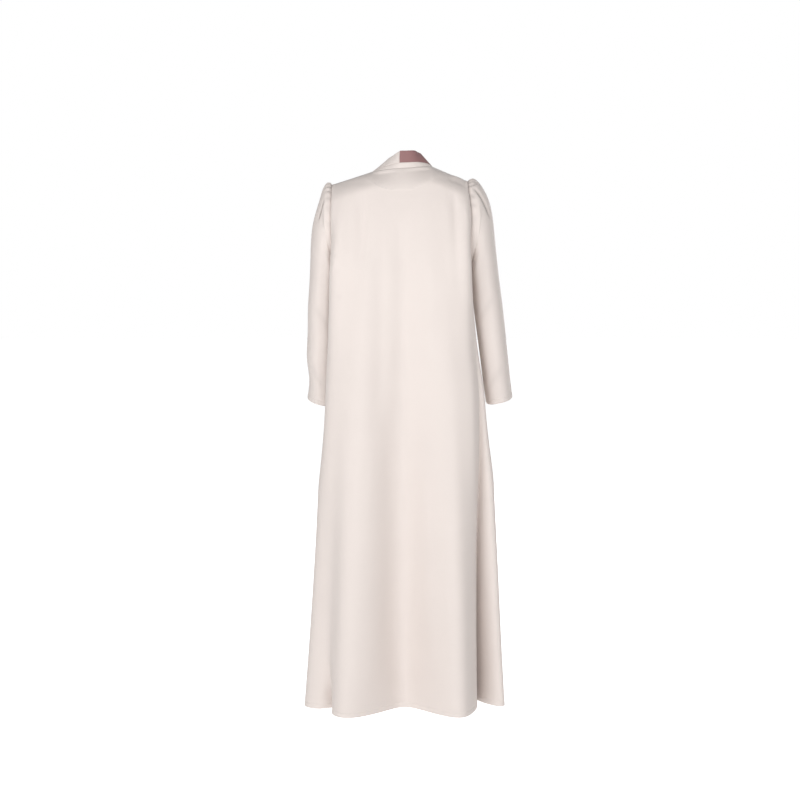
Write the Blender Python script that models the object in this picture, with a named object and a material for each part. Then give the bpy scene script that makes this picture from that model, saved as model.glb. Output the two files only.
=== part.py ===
"""Abaya cloak, worn: cloth walls that hang from the shoulders, hollow and open at the front.

Metres, +Z up. The origin is the middle of the neck base, at the height where the shoulders carry
the cloth. The back faces +Y, the fronts face -Y and the wearer's left is +X.

Every panel is a grid of points on one body surface. Across it, 0 is the centre back, 1 a side seam
and 2 a front edge, negative on the wearer's right. Down it, a row runs at each level.
"""

import bmesh
import bpy
import numpy as np

COLLECTION = "abaya_cloak"

# Levels: the hem, the underarms, and the shoulder tips and neck corners (1 is the wearer's left)
HEM_LEVEL = -1.428
UNDERARM_LEVEL = -0.250
TIP_LEVEL = {1: -0.040, -1: -0.031}
NECK_CORNER_LEVEL = {1: -0.006, -1: 0.007}

# Back neck and armholes
NECK_HALF_WIDTH = 0.080
NECK_BACK_DEPTH = 0.058
ARMHOLE_HALF_DEPTH = 0.066
ARMHOLE_ROUNDNESS = 0.55
ARMHOLE_MIDDLE = -0.145

# How the body turns round its sides, from the armhole's middle down to where the corner is gone
CORNER_END_LEVEL = -0.500
CORNER_TURN = 0.22
BODY_SQUARENESS = 2.5
BODY_SLENDER = 0.65

# Rounding over the shoulders: its height, the share of it in which the round neck eases out, its
# fullness between these distances from the middle, and how close to the side seam it flattens out
SHOULDER_DROP = 0.050
NECK_EASE = 0.25
SHOULDER_FULLNESS = 1.7
SHOULDER_FROM_NECK = (0.050, 0.150)
SHOULDER_FLAT_AT_SEAM = 0.22

# Cloth walls and the gaps between them
CLOTH = 0.0015
BAND_CLOTH = 0.0024
SEAM_GAP = 0.0004
ARMHOLE_GAP = 0.0011

# Folds: how steep a crest is, and how far below the seam they are free
FOLD_STEEPNESS = 1.4
FOLD_FREE_BELOW = 0.06

# Rows and columns of points
NORMAL_STEP = 0.01
FINE_STEPS = 4001
HEM_SHARE = 0.6
YOKE_ROWS = 13
SKIRT_ROWS = 19
BACK_COLUMNS = 42
FRONT_COLUMNS = 15
SLEEVE_COLUMNS = 36

# Body sections: half widths to the wearer's left and right, depths behind and before the neck,
# and the distance of the front panels' edge from the centre front
BODY_SECTIONS = (
    # level, left, right, back, front, edge
    (0.030, 0.186, 0.172, 0.066, 0.044, 0.080),
    (-0.042, 0.186, 0.172, 0.082, 0.064, 0.078),
    (-0.110, 0.189, 0.186, 0.101, 0.098, 0.071),
    (-0.200, 0.194, 0.189, 0.118, 0.127, 0.060),
    (-0.280, 0.201, 0.192, 0.126, 0.136, 0.057),
    (-0.350, 0.203, 0.195, 0.127, 0.134, 0.057),
    (-0.450, 0.207, 0.205, 0.125, 0.131, 0.058),
    (-0.590, 0.214, 0.223, 0.126, 0.131, 0.059),
    (-0.760, 0.219, 0.229, 0.129, 0.136, 0.061),
    (-1.040, 0.225, 0.236, 0.136, 0.147, 0.064),
    (-1.250, 0.229, 0.239, 0.142, 0.156, 0.067),
    (-1.428, 0.233, 0.243, 0.147, 0.163, 0.070),
)

# Folds that run down the body: places across at the top and at the hem, half width across, how far
# the crest moves out and to the wearer's left at the hem, the level it starts at, how it swells
BODY_FOLDS = (
    # top, foot, width, out, lean, start, power
    (0.38, 0.38, 0.17, 0.064, 0.012, -0.150, 1.25),
    (-0.02, -0.02, 0.22, -0.062, 0.000, -0.080, 0.95),
    (-0.43, -0.40, 0.17, 0.056, -0.006, -0.200, 1.30),
    (0.565, 0.565, 0.060, -0.046, -0.012, -0.420, 1.20),
    (0.80, 0.80, 0.15, 0.036, 0.004, -0.600, 1.10),
    (-0.70, -0.672, 0.050, -0.130, 0.000, -0.330, 1.05),
    (-0.86, -0.81, 0.11, 0.040, -0.002, -0.380, 1.10),
    (1.22, 1.22, 0.15, -0.022, 0.000, -0.500, 1.20),
    (1.45, 1.45, 0.16, 0.030, 0.006, -0.240, 1.30),
    (1.74, 1.74, 0.13, -0.018, 0.000, -0.320, 1.20),
    (-1.18, -1.18, 0.15, -0.020, 0.000, -0.560, 1.20),
    (-1.42, -1.42, 0.15, 0.026, 0.000, -0.260, 1.25),
    (-1.70, -1.70, 0.12, -0.022, 0.004, -0.300, 1.10),
)

# Hollows that the hanging arms press into the sides, and the drape over the shoulder blades
BODY_HOLLOWS = (
    # across, width, out, top, full from, full to, bottom
    (1.04, 0.22, -0.036, -0.120, -0.360, -0.650, -0.860),
    (1.24, 0.20, -0.016, -0.160, -0.360, -0.650, -0.860),
    (-1.03, 0.22, -0.030, -0.120, -0.360, -0.630, -0.840),
    (-1.22, 0.20, -0.010, -0.160, -0.360, -0.630, -0.840),
    (0.66, 0.10, 0.006, -0.060, -0.140, -0.200, -0.420),
    (0.42, 0.07, -0.005, -0.050, -0.120, -0.180, -0.460),
    (-0.74, 0.10, 0.008, -0.060, -0.130, -0.170, -0.380),
    (-0.58, 0.07, -0.004, -0.050, -0.100, -0.200, -0.420),
)

# Sleeve sections from the armhole to the cuff: the outermost and innermost points of each ring,
# the middle of its depth and half that depth
SLEEVE_SECTIONS = {
    1: (
        # along, outer, outer_level, inner, inner_level, middle, half_depth
        (0.02, 0.1920, -0.0345, 0.1800, -0.2515, 0.000, 0.0655),
        (0.05, 0.2000, -0.0370, 0.1806, -0.2535, -0.002, 0.0655),
        (0.09, 0.2105, -0.0520, 0.1812, -0.2565, -0.004, 0.0665),
        (0.14, 0.2200, -0.0790, 0.1818, -0.2610, -0.007, 0.0680),
        (0.20, 0.2305, -0.1120, 0.1824, -0.2670, -0.011, 0.0690),
        (0.27, 0.2395, -0.1480, 0.1826, -0.2770, -0.015, 0.0695),
        (0.35, 0.2445, -0.1950, 0.1828, -0.2930, -0.021, 0.0675),
        (0.44, 0.2465, -0.2440, 0.1828, -0.3160, -0.027, 0.0655),
        (0.53, 0.2495, -0.3000, 0.1828, -0.3480, -0.033, 0.0635),
        (0.63, 0.2540, -0.3620, 0.1830, -0.3960, -0.038, 0.0620),
        (0.73, 0.2555, -0.4300, 0.1840, -0.4560, -0.043, 0.0610),
        (0.83, 0.2585, -0.5000, 0.1855, -0.5220, -0.048, 0.0600),
        (0.92, 0.2525, -0.5620, 0.1870, -0.5800, -0.053, 0.0590),
        (1.00, 0.2575, -0.6100, 0.1885, -0.6260, -0.058, 0.0590),
    ),
    -1: (
        # along, outer, outer_level, inner, inner_level, middle, half_depth
        (0.02, 0.1780, -0.0275, 0.1780, -0.2515, 0.000, 0.0655),
        (0.05, 0.1880, -0.0265, 0.1786, -0.2535, -0.002, 0.0655),
        (0.09, 0.2040, -0.0380, 0.1794, -0.2565, -0.004, 0.0668),
        (0.14, 0.2200, -0.0600, 0.1804, -0.2610, -0.007, 0.0685),
        (0.20, 0.2325, -0.0900, 0.1818, -0.2670, -0.011, 0.0695),
        (0.27, 0.2400, -0.1260, 0.1834, -0.2770, -0.014, 0.0695),
        (0.35, 0.2460, -0.1760, 0.1850, -0.2930, -0.018, 0.0675),
        (0.44, 0.2520, -0.2320, 0.1870, -0.3160, -0.022, 0.0655),
        (0.53, 0.2590, -0.2900, 0.1900, -0.3480, -0.026, 0.0635),
        (0.63, 0.2680, -0.3560, 0.1955, -0.3960, -0.030, 0.0620),
        (0.73, 0.2765, -0.4250, 0.2040, -0.4560, -0.036, 0.0610),
        (0.83, 0.2845, -0.4960, 0.2130, -0.5220, -0.042, 0.0600),
        (0.92, 0.2915, -0.5560, 0.2200, -0.5760, -0.048, 0.0590),
        (1.00, 0.2980, -0.6060, 0.2270, -0.6200, -0.054, 0.0590),
    ),
}

# Slope of the cuff to the back, the cap's puff past its seam, how far the armhole's curve carries
# into the sleeve, and the step outwards below the arm
CUFF_SLOPE = 0.14
CAP_PUFF = 0.003
CAP_PUFF_AT = 0.06
BOW_REACH = 0.30
UNDERARM_STEP = 0.008
UNDERARM_AT = 0.055

# Pleats of the gathered caps: angle from the top of the armhole towards the back, half width and
# depth of the trough, and how far along the sleeve it runs out
CAP_PLEATS = {
    1: (
        # angle, width, depth, reach
        (-62, 13, 0.0060, 0.20),
        (-34, 12, 0.0070, 0.26),
        (-6, 11, 0.0075, 0.24),
        (22, 11, 0.0080, 0.30),
        (47, 12, 0.0105, 0.36),
        (74, 13, 0.0050, 0.22),
    ),
    -1: (
        # angle, width, depth, reach
        (-60, 13, 0.0060, 0.22),
        (-33, 12, 0.0075, 0.28),
        (-5, 11, 0.0070, 0.22),
        (21, 11, 0.0090, 0.36),
        (44, 12, 0.0080, 0.30),
        (70, 13, 0.0050, 0.24),
    ),
}

# Soft creases across the sleeves: the angle they lie at and its spread, place along and half width
ELBOW_CREASES = {
    1: (
        # angle, spread, along, length, depth
        (90, 60, 0.565, 0.030, 0.0040),
        (120, 55, 0.66, 0.030, 0.0035),
        (60, 70, 0.90, 0.030, 0.0040),
    ),
    -1: (
        # angle, spread, along, length, depth
        (110, 60, 0.56, 0.030, 0.0035),
        (130, 55, 0.67, 0.030, 0.0035),
        (150, 70, 0.90, 0.035, 0.0035),
    ),
}

# Collar: where its two colours meet, the low strip on the neck seam, and the band's width and lean
# in degrees at places from the centre back (0) past the neck corner (1) down to the chest
COLLAR_JOIN = 0.008
STAND_HEIGHT = 0.015
STAND_END_HEIGHT = 0.0012
STAND_ROUNDNESS = 0.6
COLLAR_STATIONS = {
    1: (
        # along, width, lean
        (0.00, 0.030, 84.0),
        (0.25, 0.031, 61.0),
        (0.45, 0.034, 51.0),
        (0.70, 0.040, 43.0),
        (1.00, 0.044, 33.0),
        (1.40, 0.045, 18.0),
        (2.20, 0.045, 0.0),
    ),
    -1: (
        # along, width, lean
        (0.00, 0.030, 84.0),
        (0.25, 0.030, 80.0),
        (0.50, 0.031, 61.0),
        (0.75, 0.033, 52.0),
        (1.00, 0.037, 43.0),
        (1.45, 0.045, 22.0),
        (2.20, 0.045, 0.0),
    ),
}
COLLAR_ROWS = 2
COLLAR_STEP = 0.04
CORNER_ANGLE = np.radians(89.5)
STAND_REACH = 72.0
V_FOOT_LEVEL = -0.200
FRONT_STRETCH = 1.2

# Half-moon facing: half width and depth below the neck seam, how much of its tips is kept, and its
# gap behind the back, which widens over this share of its reach
FACING_HALF_WIDTH = 0.098
FACING_DEPTH = 0.058
FACING_ROUNDNESS = 0.6
FACING_TIP_SHARE = 0.94
FACING_INSET = 0.002
FACING_CLOTH = 0.0010
FACING_GAP = 0.0017
FACING_END_GAP = 0.0035
FACING_WIDENS = (0.3, 0.9)
FACING_COLUMNS = 14
FACING_ROWS = 6

CREAM = (0.86, 0.76, 0.71, 1.0)
MAUVE = (0.34, 0.19, 0.19, 1.0)
CREPE_ROUGHNESS = 0.62


def along(table, place, column):
    """Smooth curve through a table: cubic Hermite pieces with slopes from the rows on each side."""
    rows = np.array(table, dtype=float)
    rows = rows[np.argsort(rows[:, 0])]
    at = rows[:, 0]
    value = rows[:, column]
    slope = np.gradient(value, at)
    place = np.clip(place, at[0], at[-1])
    cell = np.clip(np.searchsorted(at, place) - 1, 0, len(at) - 2)
    step = at[cell + 1] - at[cell]
    t = (place - at[cell]) / step
    start = value[cell] * (1 + 2 * t) * (1 - t) ** 2 + slope[cell] * step * t * (1 - t) ** 2
    end = value[cell + 1] * t**2 * (3 - 2 * t) + slope[cell + 1] * step * t**2 * (t - 1)
    return start + end


def smooth(low, high, value):
    """Soft step from 0 at low to 1 at high."""
    t = np.clip((value - low) / (high - low), 0.0, 1.0)
    return t * t * (3 - 2 * t)


def bump(distance, width):
    """Soft hill, 1 at its middle and close to 0 at twice its half width."""
    return np.exp(-((distance / width) ** 2) * FOLD_STEEPNESS)


def quarter_shape(across):
    """Quarter of a superellipse in even steps of its length: how far out and how far back."""
    angle = np.linspace(0.0, np.pi / 2, FINE_STEPS)
    out = np.sin(angle) ** (2 / BODY_SQUARENESS)
    back = np.cos(angle) ** (2 / BODY_SQUARENESS)
    length = np.cumsum(np.hypot(np.diff(out), BODY_SLENDER * np.diff(back)))
    length = np.concatenate([[0.0], length])
    fraction = length / length[-1]
    return np.interp(across, fraction, out), np.interp(across, fraction, back)


def by_side(across, left, right):
    """Left value where across is positive, and right value where it is negative."""
    return np.where(across >= 0, left, right)


def top_level(across, panel):
    """Height of a panel's upper edge: level over the neck, then straight down the shoulder seam."""
    out = np.abs(body_across(across, np.full_like(across, TIP_LEVEL[1]), panel))
    tip = by_side(across, TIP_LEVEL[1], TIP_LEVEL[-1])
    corner = by_side(across, NECK_CORNER_LEVEL[1], NECK_CORNER_LEVEL[-1])
    tip_out = by_side(across, BODY_SECTIONS[0][1], BODY_SECTIONS[0][2])
    share = np.clip((out - NECK_HALF_WIDTH) / (tip_out - NECK_HALF_WIDTH), 0.0, 1.0)
    neck = corner * smooth(0.0, NECK_HALF_WIDTH, np.minimum(out, NECK_HALF_WIDTH))
    return np.where(out < NECK_HALF_WIDTH, neck, corner + (tip - corner) * share)


def body_across(across, level, panel):
    """Distance from the middle to the body section, signed towards the wearer's left."""
    half = by_side(across, along(BODY_SECTIONS, level, 1), along(BODY_SECTIONS, level, 2))
    if panel == "back":
        out, _ = quarter_shape(np.abs(across))
        return np.sign(across) * half * out
    out, _ = quarter_shape(2 - np.abs(across))
    edge = along(BODY_SECTIONS, level, 5)
    return np.sign(across) * (edge + (half - edge) * out)


def armhole_depth(across, level):
    """Half depth of the oval armhole at a level, and 0 below the underarm."""
    tip = by_side(across, TIP_LEVEL[1], TIP_LEVEL[-1])
    height = np.clip(2 * (level - UNDERARM_LEVEL) / (tip - UNDERARM_LEVEL) - 1, -1.0, 1.0)
    return ARMHOLE_HALF_DEPTH * (1 - height**2) ** ARMHOLE_ROUNDNESS


def body_plain(across, level, panel):
    """Body surface before its folds."""
    x = body_across(across, level, panel)
    place = np.abs(across)
    _, back = quarter_shape(place if panel == "back" else 2 - place)
    column = 3 if panel == "back" else 4
    edge = armhole_depth(across, level)
    under = smooth(ARMHOLE_MIDDLE, CORNER_END_LEVEL, level)
    corner = np.where(level > ARMHOLE_MIDDLE, edge, ARMHOLE_HALF_DEPTH * (1 - under))
    turn = smooth(0.0, 1.0, 1 - np.abs(1 - place) / CORNER_TURN)
    depth = corner + (along(BODY_SECTIONS, level, column) - corner) * back
    depth -= (corner - edge) * turn
    drop = np.clip((top_level(across, panel) - level) / SHOULDER_DROP, 0.0, 1.0)
    full = 1 + (SHOULDER_FULLNESS - 1) * smooth(*SHOULDER_FROM_NECK, np.abs(x))
    fall = (1 - (1 - drop) ** 2) ** (1 / full)
    from_seam = np.abs(1 - place)
    fall = fall + (1 - fall) * (1 - smooth(0.0, SHOULDER_FLAT_AT_SEAM, from_seam))
    y = depth * fall
    if panel == "back":
        round_neck = np.sqrt(np.clip(1 - (x / NECK_HALF_WIDTH) ** 2, 0.0, 1.0)) * NECK_BACK_DEPTH
        eased = NECK_BACK_DEPTH * bump(x, NECK_HALF_WIDTH)
        at_neck = (1 - smooth(0.0, NECK_EASE, drop)) * (round_neck - eased)
        y = eased + (depth - eased) * fall + at_neck
    return np.stack([x, y if panel == "back" else -y, level], axis=-1)


def body_point(across, level, panel):
    """Body surface with its folds, which push it out along its plan normal and aside."""
    plain = body_plain(across, level, panel)
    step = NORMAL_STEP
    limit = (-1.0, 1.0) if panel == "back" else (1.0, 2.0)
    place = np.abs(across)
    if panel == "back":
        ahead = body_plain(np.clip(across + step, *limit), level, panel)
        behind = body_plain(np.clip(across - step, *limit), level, panel)
    else:
        ahead = body_plain(np.sign(across) * np.clip(place + step, *limit), level, panel)
        behind = body_plain(np.sign(across) * np.clip(place - step, *limit), level, panel)
        ahead, behind = np.where((across > 0)[..., None], (ahead, behind), (behind, ahead))
    run = ahead - behind
    run[..., 2] = 0.0
    run /= np.linalg.norm(run, axis=-1, keepdims=True)
    normal = np.stack([run[..., 1], -run[..., 0], np.zeros_like(level)], axis=-1)
    normal *= np.sign(np.sum(normal * plain, axis=-1, keepdims=True))
    out = np.zeros_like(level)
    aside = np.zeros_like(level)
    for top, foot, width, deep, lean, start, power in BODY_FOLDS:
        down = np.clip((start - level) / (start - HEM_LEVEL), 0.0, 1.0)
        hill = bump(across - top - (foot - top) * down, width)
        out += deep * down**power * hill
        aside += lean * down**power * hill
    for middle, width, deep, first, full, last, end in BODY_HOLLOWS:
        grown = smooth(first, full, level) * (1 - smooth(last, end, level))
        out += deep * grown * bump(across - middle, width)
    free = smooth(0.0, FOLD_FREE_BELOW, top_level(across, panel) - level)
    point = plain + normal * (out * free)[..., None]
    point[..., 0] += aside * free
    return point


def grid_normals(points, closed=False):
    """Unit normals of a grid of points, from the steps between neighbouring rows and columns."""
    down = np.gradient(points, axis=0)
    if closed:
        over = (np.roll(points, -1, axis=1) - np.roll(points, 1, axis=1)) / 2
    else:
        over = np.gradient(points, axis=1)
    normal = np.cross(over, down)
    return normal / np.linalg.norm(normal, axis=-1, keepdims=True)


def wall(name, points, normals, thickness, colour, closed=False):
    """Closed cloth wall: the outer grid, the same grid moved in along the normals, and its rims."""
    rows, columns = points.shape[:2]
    inner = points - normals * thickness
    vertices = np.concatenate([points.reshape(-1, 3), inner.reshape(-1, 3)])
    index = np.arange(rows * columns).reshape(rows, columns)
    if closed:
        index = np.concatenate([index, index[:, :1]], axis=1)
    back = index + rows * columns
    faces = [quads(index), quads(back)[:, ::-1]]
    faces.append(strip(index[0], back[0]))
    faces.append(strip(back[-1], index[-1]))
    if not closed:
        faces.append(strip(back[:, 0], index[:, 0]))
        faces.append(strip(index[:, -1], back[:, -1]))
    mesh = bpy.data.meshes.new(name)
    mesh.from_pydata(vertices.tolist(), [], np.concatenate(faces).tolist())
    shell = bmesh.new()
    shell.from_mesh(mesh)
    bmesh.ops.recalc_face_normals(shell, faces=shell.faces)
    shell.to_mesh(mesh)
    shell.free()
    mesh.shade_smooth()
    mesh.materials.append(crepe(name, colour))
    piece = bpy.data.objects.new(name, mesh)
    bpy.data.collections[COLLECTION].objects.link(piece)
    return piece


def quads(index):
    """Four-sided faces of a grid of point numbers."""
    corners = (index[:-1, :-1], index[:-1, 1:], index[1:, 1:], index[1:, :-1])
    return np.stack(corners, axis=-1).reshape(-1, 4)


def strip(first, second):
    """Four-sided faces of a rim between two runs of point numbers."""
    return np.stack([first[:-1], second[:-1], second[1:], first[1:]], axis=-1)


def crepe(name, colour):
    """Matte satin crepe of one colour."""
    material = bpy.data.materials.new(name + "_crepe")
    material.use_nodes = True
    shader = material.node_tree.nodes["Principled BSDF"]
    shader.inputs["Base Color"].default_value = colour
    shader.inputs["Roughness"].default_value = CREPE_ROUGHNESS
    shader.inputs["Metallic"].default_value = 0.0
    return material


def panel_levels(across, panel):
    """Levels of a panel's rows: close at the shoulder and the underarm, then even to the hem."""
    share = (1 + np.cos(np.linspace(0.0, np.pi, YOKE_ROWS + 1))) / 2
    top = top_level(across, panel)
    yoke = UNDERARM_LEVEL + (top - UNDERARM_LEVEL) * share[:, None]
    skirt = np.linspace(UNDERARM_LEVEL, HEM_LEVEL, SKIRT_ROWS + 1)[1:]
    return np.concatenate([yoke, np.broadcast_to(skirt[:, None], (SKIRT_ROWS, len(across)))])


def panel_columns(first, last, count, panel):
    """Places across a panel, closer where the hem runs deep into a fold."""
    even = np.linspace(first, last, FINE_STEPS)
    hem = body_point(even, np.full_like(even, HEM_LEVEL), panel)
    run = np.concatenate([[0.0], np.cumsum(np.linalg.norm(np.diff(hem, axis=0), axis=1))])
    share = HEM_SHARE * run / run[-1] + (1 - HEM_SHARE) * np.linspace(0.0, 1.0, len(even))
    return np.interp(np.linspace(0.0, 1.0, count + 1), share, even)


def with_neck_corners(columns):
    """The same columns, with the nearest ones moved onto the two ends of the back neck."""
    even = np.linspace(-1.0, 1.0, FINE_STEPS)
    out = body_across(even, np.full_like(even, TIP_LEVEL[1]), "back")
    for side in (1, -1):
        corner = np.interp(side * NECK_HALF_WIDTH, out, even)
        columns[np.argmin(np.abs(columns - corner))] = corner
    return columns


def panel(name, across, side_of_body):
    """A body panel, parted from its neighbours at the shoulder and side seams."""
    levels = panel_levels(across, side_of_body)
    places = np.broadcast_to(across, levels.shape)
    points = body_point(places, levels, side_of_body)
    points[..., 1] += SEAM_GAP / 2 if side_of_body == "back" else -SEAM_GAP / 2
    normals = grid_normals(points)
    normals *= np.sign(np.sum(normals * (points - [0.0, 0.0, UNDERARM_LEVEL]), axis=-1).mean())
    shoulder = np.abs(points[0, :, 0]) >= NECK_HALF_WIDTH - CLOTH
    normals[0, shoulder, 1] = 0.0
    normals[0] /= np.linalg.norm(normals[0], axis=-1, keepdims=True)
    return wall(name, points, normals, CLOTH, CREAM)


def armhole_ring(side, angle):
    """The armhole's edge at angles from its top round the back, in the seam's own plane."""
    middle = (TIP_LEVEL[side] + UNDERARM_LEVEL) / 2
    reach = (TIP_LEVEL[side] - UNDERARM_LEVEL) / 2
    level = middle + reach * np.cos(angle)
    across = np.full_like(level, float(side))
    back = body_point(across, level, "back")
    front = body_point(across, level, "front")
    return np.where((np.sin(angle) >= 0)[:, None], back, front)


def sleeve(name, side):
    """A tube of rings from the armhole to the cuff, pleated at its cap and creased at the elbow."""
    angle = np.linspace(0.0, 2 * np.pi, SLEEVE_COLUMNS, endpoint=False)
    rows = np.array(SLEEVE_SECTIONS[side])
    place = np.repeat(rows[:, :1], SLEEVE_COLUMNS, axis=1)
    turn = np.broadcast_to(angle, place.shape)
    outer = np.stack([side * rows[:, 1], rows[:, 5], rows[:, 2]], axis=-1)[:, None]
    inner = np.stack([side * rows[:, 3], rows[:, 5], rows[:, 4]], axis=-1)[:, None]
    deep = np.array([0.0, 1.0, 0.0]) * rows[:, 6][:, None, None]
    half = (outer - inner) / 2
    swing = np.cos(turn)[..., None]
    reach = np.sin(turn)[..., None]
    points = (outer + inner) / 2 + half * swing + deep * reach
    points[..., 2] -= CUFF_SLOPE * place * reach[..., 0] * rows[:, 6][:, None]
    outward = half * swing / np.linalg.norm(half, axis=-1, keepdims=True) + [0.0, 1.0, 0.0] * reach
    trough = np.zeros_like(place)
    for middle, width, depth, run_out in CAP_PLEATS[side]:
        apart = np.degrees(np.angle(np.exp(1j * (turn - np.radians(middle)))))
        trough += depth * bump(apart, width) * (1 - smooth(0.0, run_out, place))
    for middle, spread, at, length, depth in ELBOW_CREASES[side]:
        apart = np.degrees(np.angle(np.exp(1j * (turn - np.radians(middle)))))
        trough += depth * bump(apart, spread) * bump(place - at, length)
    trough -= CAP_PUFF * bump(place - CAP_PUFF_AT, CAP_PUFF_AT)
    points -= outward * trough[..., None]
    seam = armhole_ring(side, angle) + [side * ARMHOLE_GAP, 0.0, 0.0]
    lowest = seam[SLEEVE_COLUMNS // 2]
    straight = (seam[0] + lowest) / 2 + (seam[0] - lowest) / 2 * np.cos(angle)[:, None]
    bow = (seam - straight) * [1.0, 0.0, 0.0]
    points += bow * (1 - smooth(0.0, BOW_REACH, place))[..., None]
    below = 1 - ((1 + np.cos(turn)) / 2) ** 2
    points[..., 0] += side * UNDERARM_STEP * below * bump(place - UNDERARM_AT, UNDERARM_AT)
    points = np.concatenate([seam[None], points])
    normals = grid_normals(points, closed=True)
    middle = points.mean(axis=1, keepdims=True)
    normals *= np.sign(np.sum(normals * (points - middle), axis=-1).mean())
    normals[0, :, 0] = 0.0
    normals[0] /= np.linalg.norm(normals[0], axis=-1, keepdims=True)
    return wall(name, points, normals, CLOTH, CREAM, closed=True)


def neck_angles(columns):
    """Angles round the neck of the back panel's columns, so that the collar meets its own points."""
    x = body_across(columns, np.full_like(columns, TIP_LEVEL[1]), "back")
    inside = np.abs(x) < NECK_HALF_WIDTH + SEAM_GAP
    return np.arcsin(np.clip(x[inside] / NECK_HALF_WIDTH, -1.0, 1.0))


def neck_seam(angle):
    """Back neck seam at angles from the centre back, positive to the wearer's left."""
    x = NECK_HALF_WIDTH * np.sin(angle)
    side = np.where(x >= 0, NECK_CORNER_LEVEL[1], NECK_CORNER_LEVEL[-1])
    level = side * smooth(0.0, NECK_HALF_WIDTH, np.abs(x))
    return np.stack([x, NECK_BACK_DEPTH * np.cos(angle), level], axis=-1)


def rise(direction, lean):
    """Direction across the collar: inwards to the neck, raised by the lean in degrees."""
    plan = direction / np.linalg.norm(direction, axis=-1, keepdims=True)
    tilt = np.radians(lean)[..., None]
    return plan * np.cos(tilt) + np.array([0.0, 0.0, 1.0]) * np.sin(tilt)


def stand_height(angle):
    """Height of the low strip on the neck seam, which runs out at the neck corners."""
    share = np.clip(np.abs(np.degrees(angle)) / STAND_REACH, 0.0, 1.0)
    return STAND_END_HEIGHT + (STAND_HEIGHT - STAND_END_HEIGHT) * (1 - share**2) ** STAND_ROUNDNESS


def collar_lean(angle):
    """Lean of the collar round the back neck, in degrees."""
    place = np.abs(angle) / (np.pi / 2)
    left = along(COLLAR_STATIONS[1], place, 2)
    return np.where(angle >= 0, left, along(COLLAR_STATIONS[-1], place, 2))


def towards_neck(points):
    """Plan direction from the neck seam to the middle of the neck."""
    return points * [-1.0, -1.0, 0.0]


def collar_stand(neck):
    """Low strip that stands on the back neck seam, from one neck corner to the other."""
    angle = neck[np.abs(neck) < np.radians(STAND_REACH)]
    seam = neck_seam(angle)
    up = rise(towards_neck(seam), collar_lean(angle))
    share = np.linspace(0.0, 1.0, COLLAR_ROWS + 1)[:, None, None]
    points = seam + up * (SEAM_GAP + share * stand_height(angle)[None, :, None])
    normals = grid_normals(points)
    normals *= np.sign(np.sum(normals * (points - points.mean(axis=(0, 1))), axis=-1).mean())
    return wall("collar_stand", points, normals, CLOTH, CREAM)


def collar_band(name, side, colour, neck):
    """Band from the centre back seam, round the neck and down the front edge to the hem."""
    start = np.arcsin(COLLAR_JOIN / NECK_HALF_WIDTH) + side * SEAM_GAP / NECK_HALF_WIDTH
    beyond = neck[(side * (neck - start) > COLLAR_STEP) & (np.abs(neck) < CORNER_ANGLE)]
    angle = np.concatenate([[start], beyond[np.argsort(np.abs(beyond))]])
    seam = neck_seam(angle)
    lean = along(COLLAR_STATIONS[side], np.abs(angle) / (np.pi / 2), 2)
    width = along(COLLAR_STATIONS[side], np.abs(angle) / (np.pi / 2), 1)
    up = rise(towards_neck(seam), lean)
    on_stand = np.abs(angle) < np.radians(STAND_REACH)
    clear = SEAM_GAP + np.where(on_stand, SEAM_GAP + stand_height(angle), 0.0)
    back_foot = seam + up * clear[:, None]

    edge = np.array([2.0 * side])
    levels = panel_levels(edge, "front")[:, 0]
    foot = body_point(np.full_like(levels, 2.0 * side), levels, "front")
    foot[:, 1] -= SEAM_GAP / 2
    corner = NECK_CORNER_LEVEL[side]
    place = 1 + FRONT_STRETCH * np.clip((corner - levels) / (corner - V_FOOT_LEVEL), 0.0, 1.0)
    front_up = rise(np.tile([-float(side), 0.0, 0.0], (len(levels), 1)),
                    along(COLLAR_STATIONS[side], place, 2))
    foot = foot + front_up * SEAM_GAP

    feet = np.concatenate([back_foot, foot])
    across = np.concatenate([up, front_up])
    width = np.concatenate([width, along(COLLAR_STATIONS[side], place, 1)])
    share = np.linspace(0.0, 1.0, COLLAR_ROWS + 1)[None, :, None]
    points = feet[:, None] + across[:, None] * share * width[:, None, None]
    normals = grid_normals(points)
    normals *= np.sign(normals[0, 0, 1])
    return wall(name, points, normals, BAND_CLOTH, colour)


def neck_facing():
    """Half-moon inside the back neck, made from the back's points moved in."""
    even = np.linspace(-1.0, 1.0, FINE_STEPS)
    out = body_across(even, np.full_like(even, TIP_LEVEL[1]), "back")
    reach = FACING_HALF_WIDTH * FACING_TIP_SHARE
    across = np.interp(np.linspace(-reach, reach, FACING_COLUMNS + 1), out, even)
    x = np.interp(across, even, out)
    depth = FACING_DEPTH * (1 - (x / FACING_HALF_WIDTH) ** 2) ** FACING_ROUNDNESS
    share = np.linspace(0.0, 1.0, FACING_ROWS + 1)[:, None]
    levels = top_level(across, "back") - FACING_INSET - share * (depth - FACING_INSET)
    points = body_point(np.broadcast_to(across, levels.shape), levels, "back")
    points[..., 1] += SEAM_GAP / 2
    normals = grid_normals(points)
    normals *= np.sign(normals[..., 1].mean())
    widening = smooth(*FACING_WIDENS, np.abs(x) / reach)
    gap = FACING_GAP + (FACING_END_GAP - FACING_GAP) * widening
    points = points - normals * (CLOTH + gap)[:, None]
    return wall("neck_facing", points, normals, FACING_CLOTH, CREAM)


for old in list(bpy.data.objects):
    bpy.data.objects.remove(old, do_unlink=True)
cloak = bpy.data.collections.new(COLLECTION)
bpy.context.scene.collection.children.link(cloak)

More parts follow.
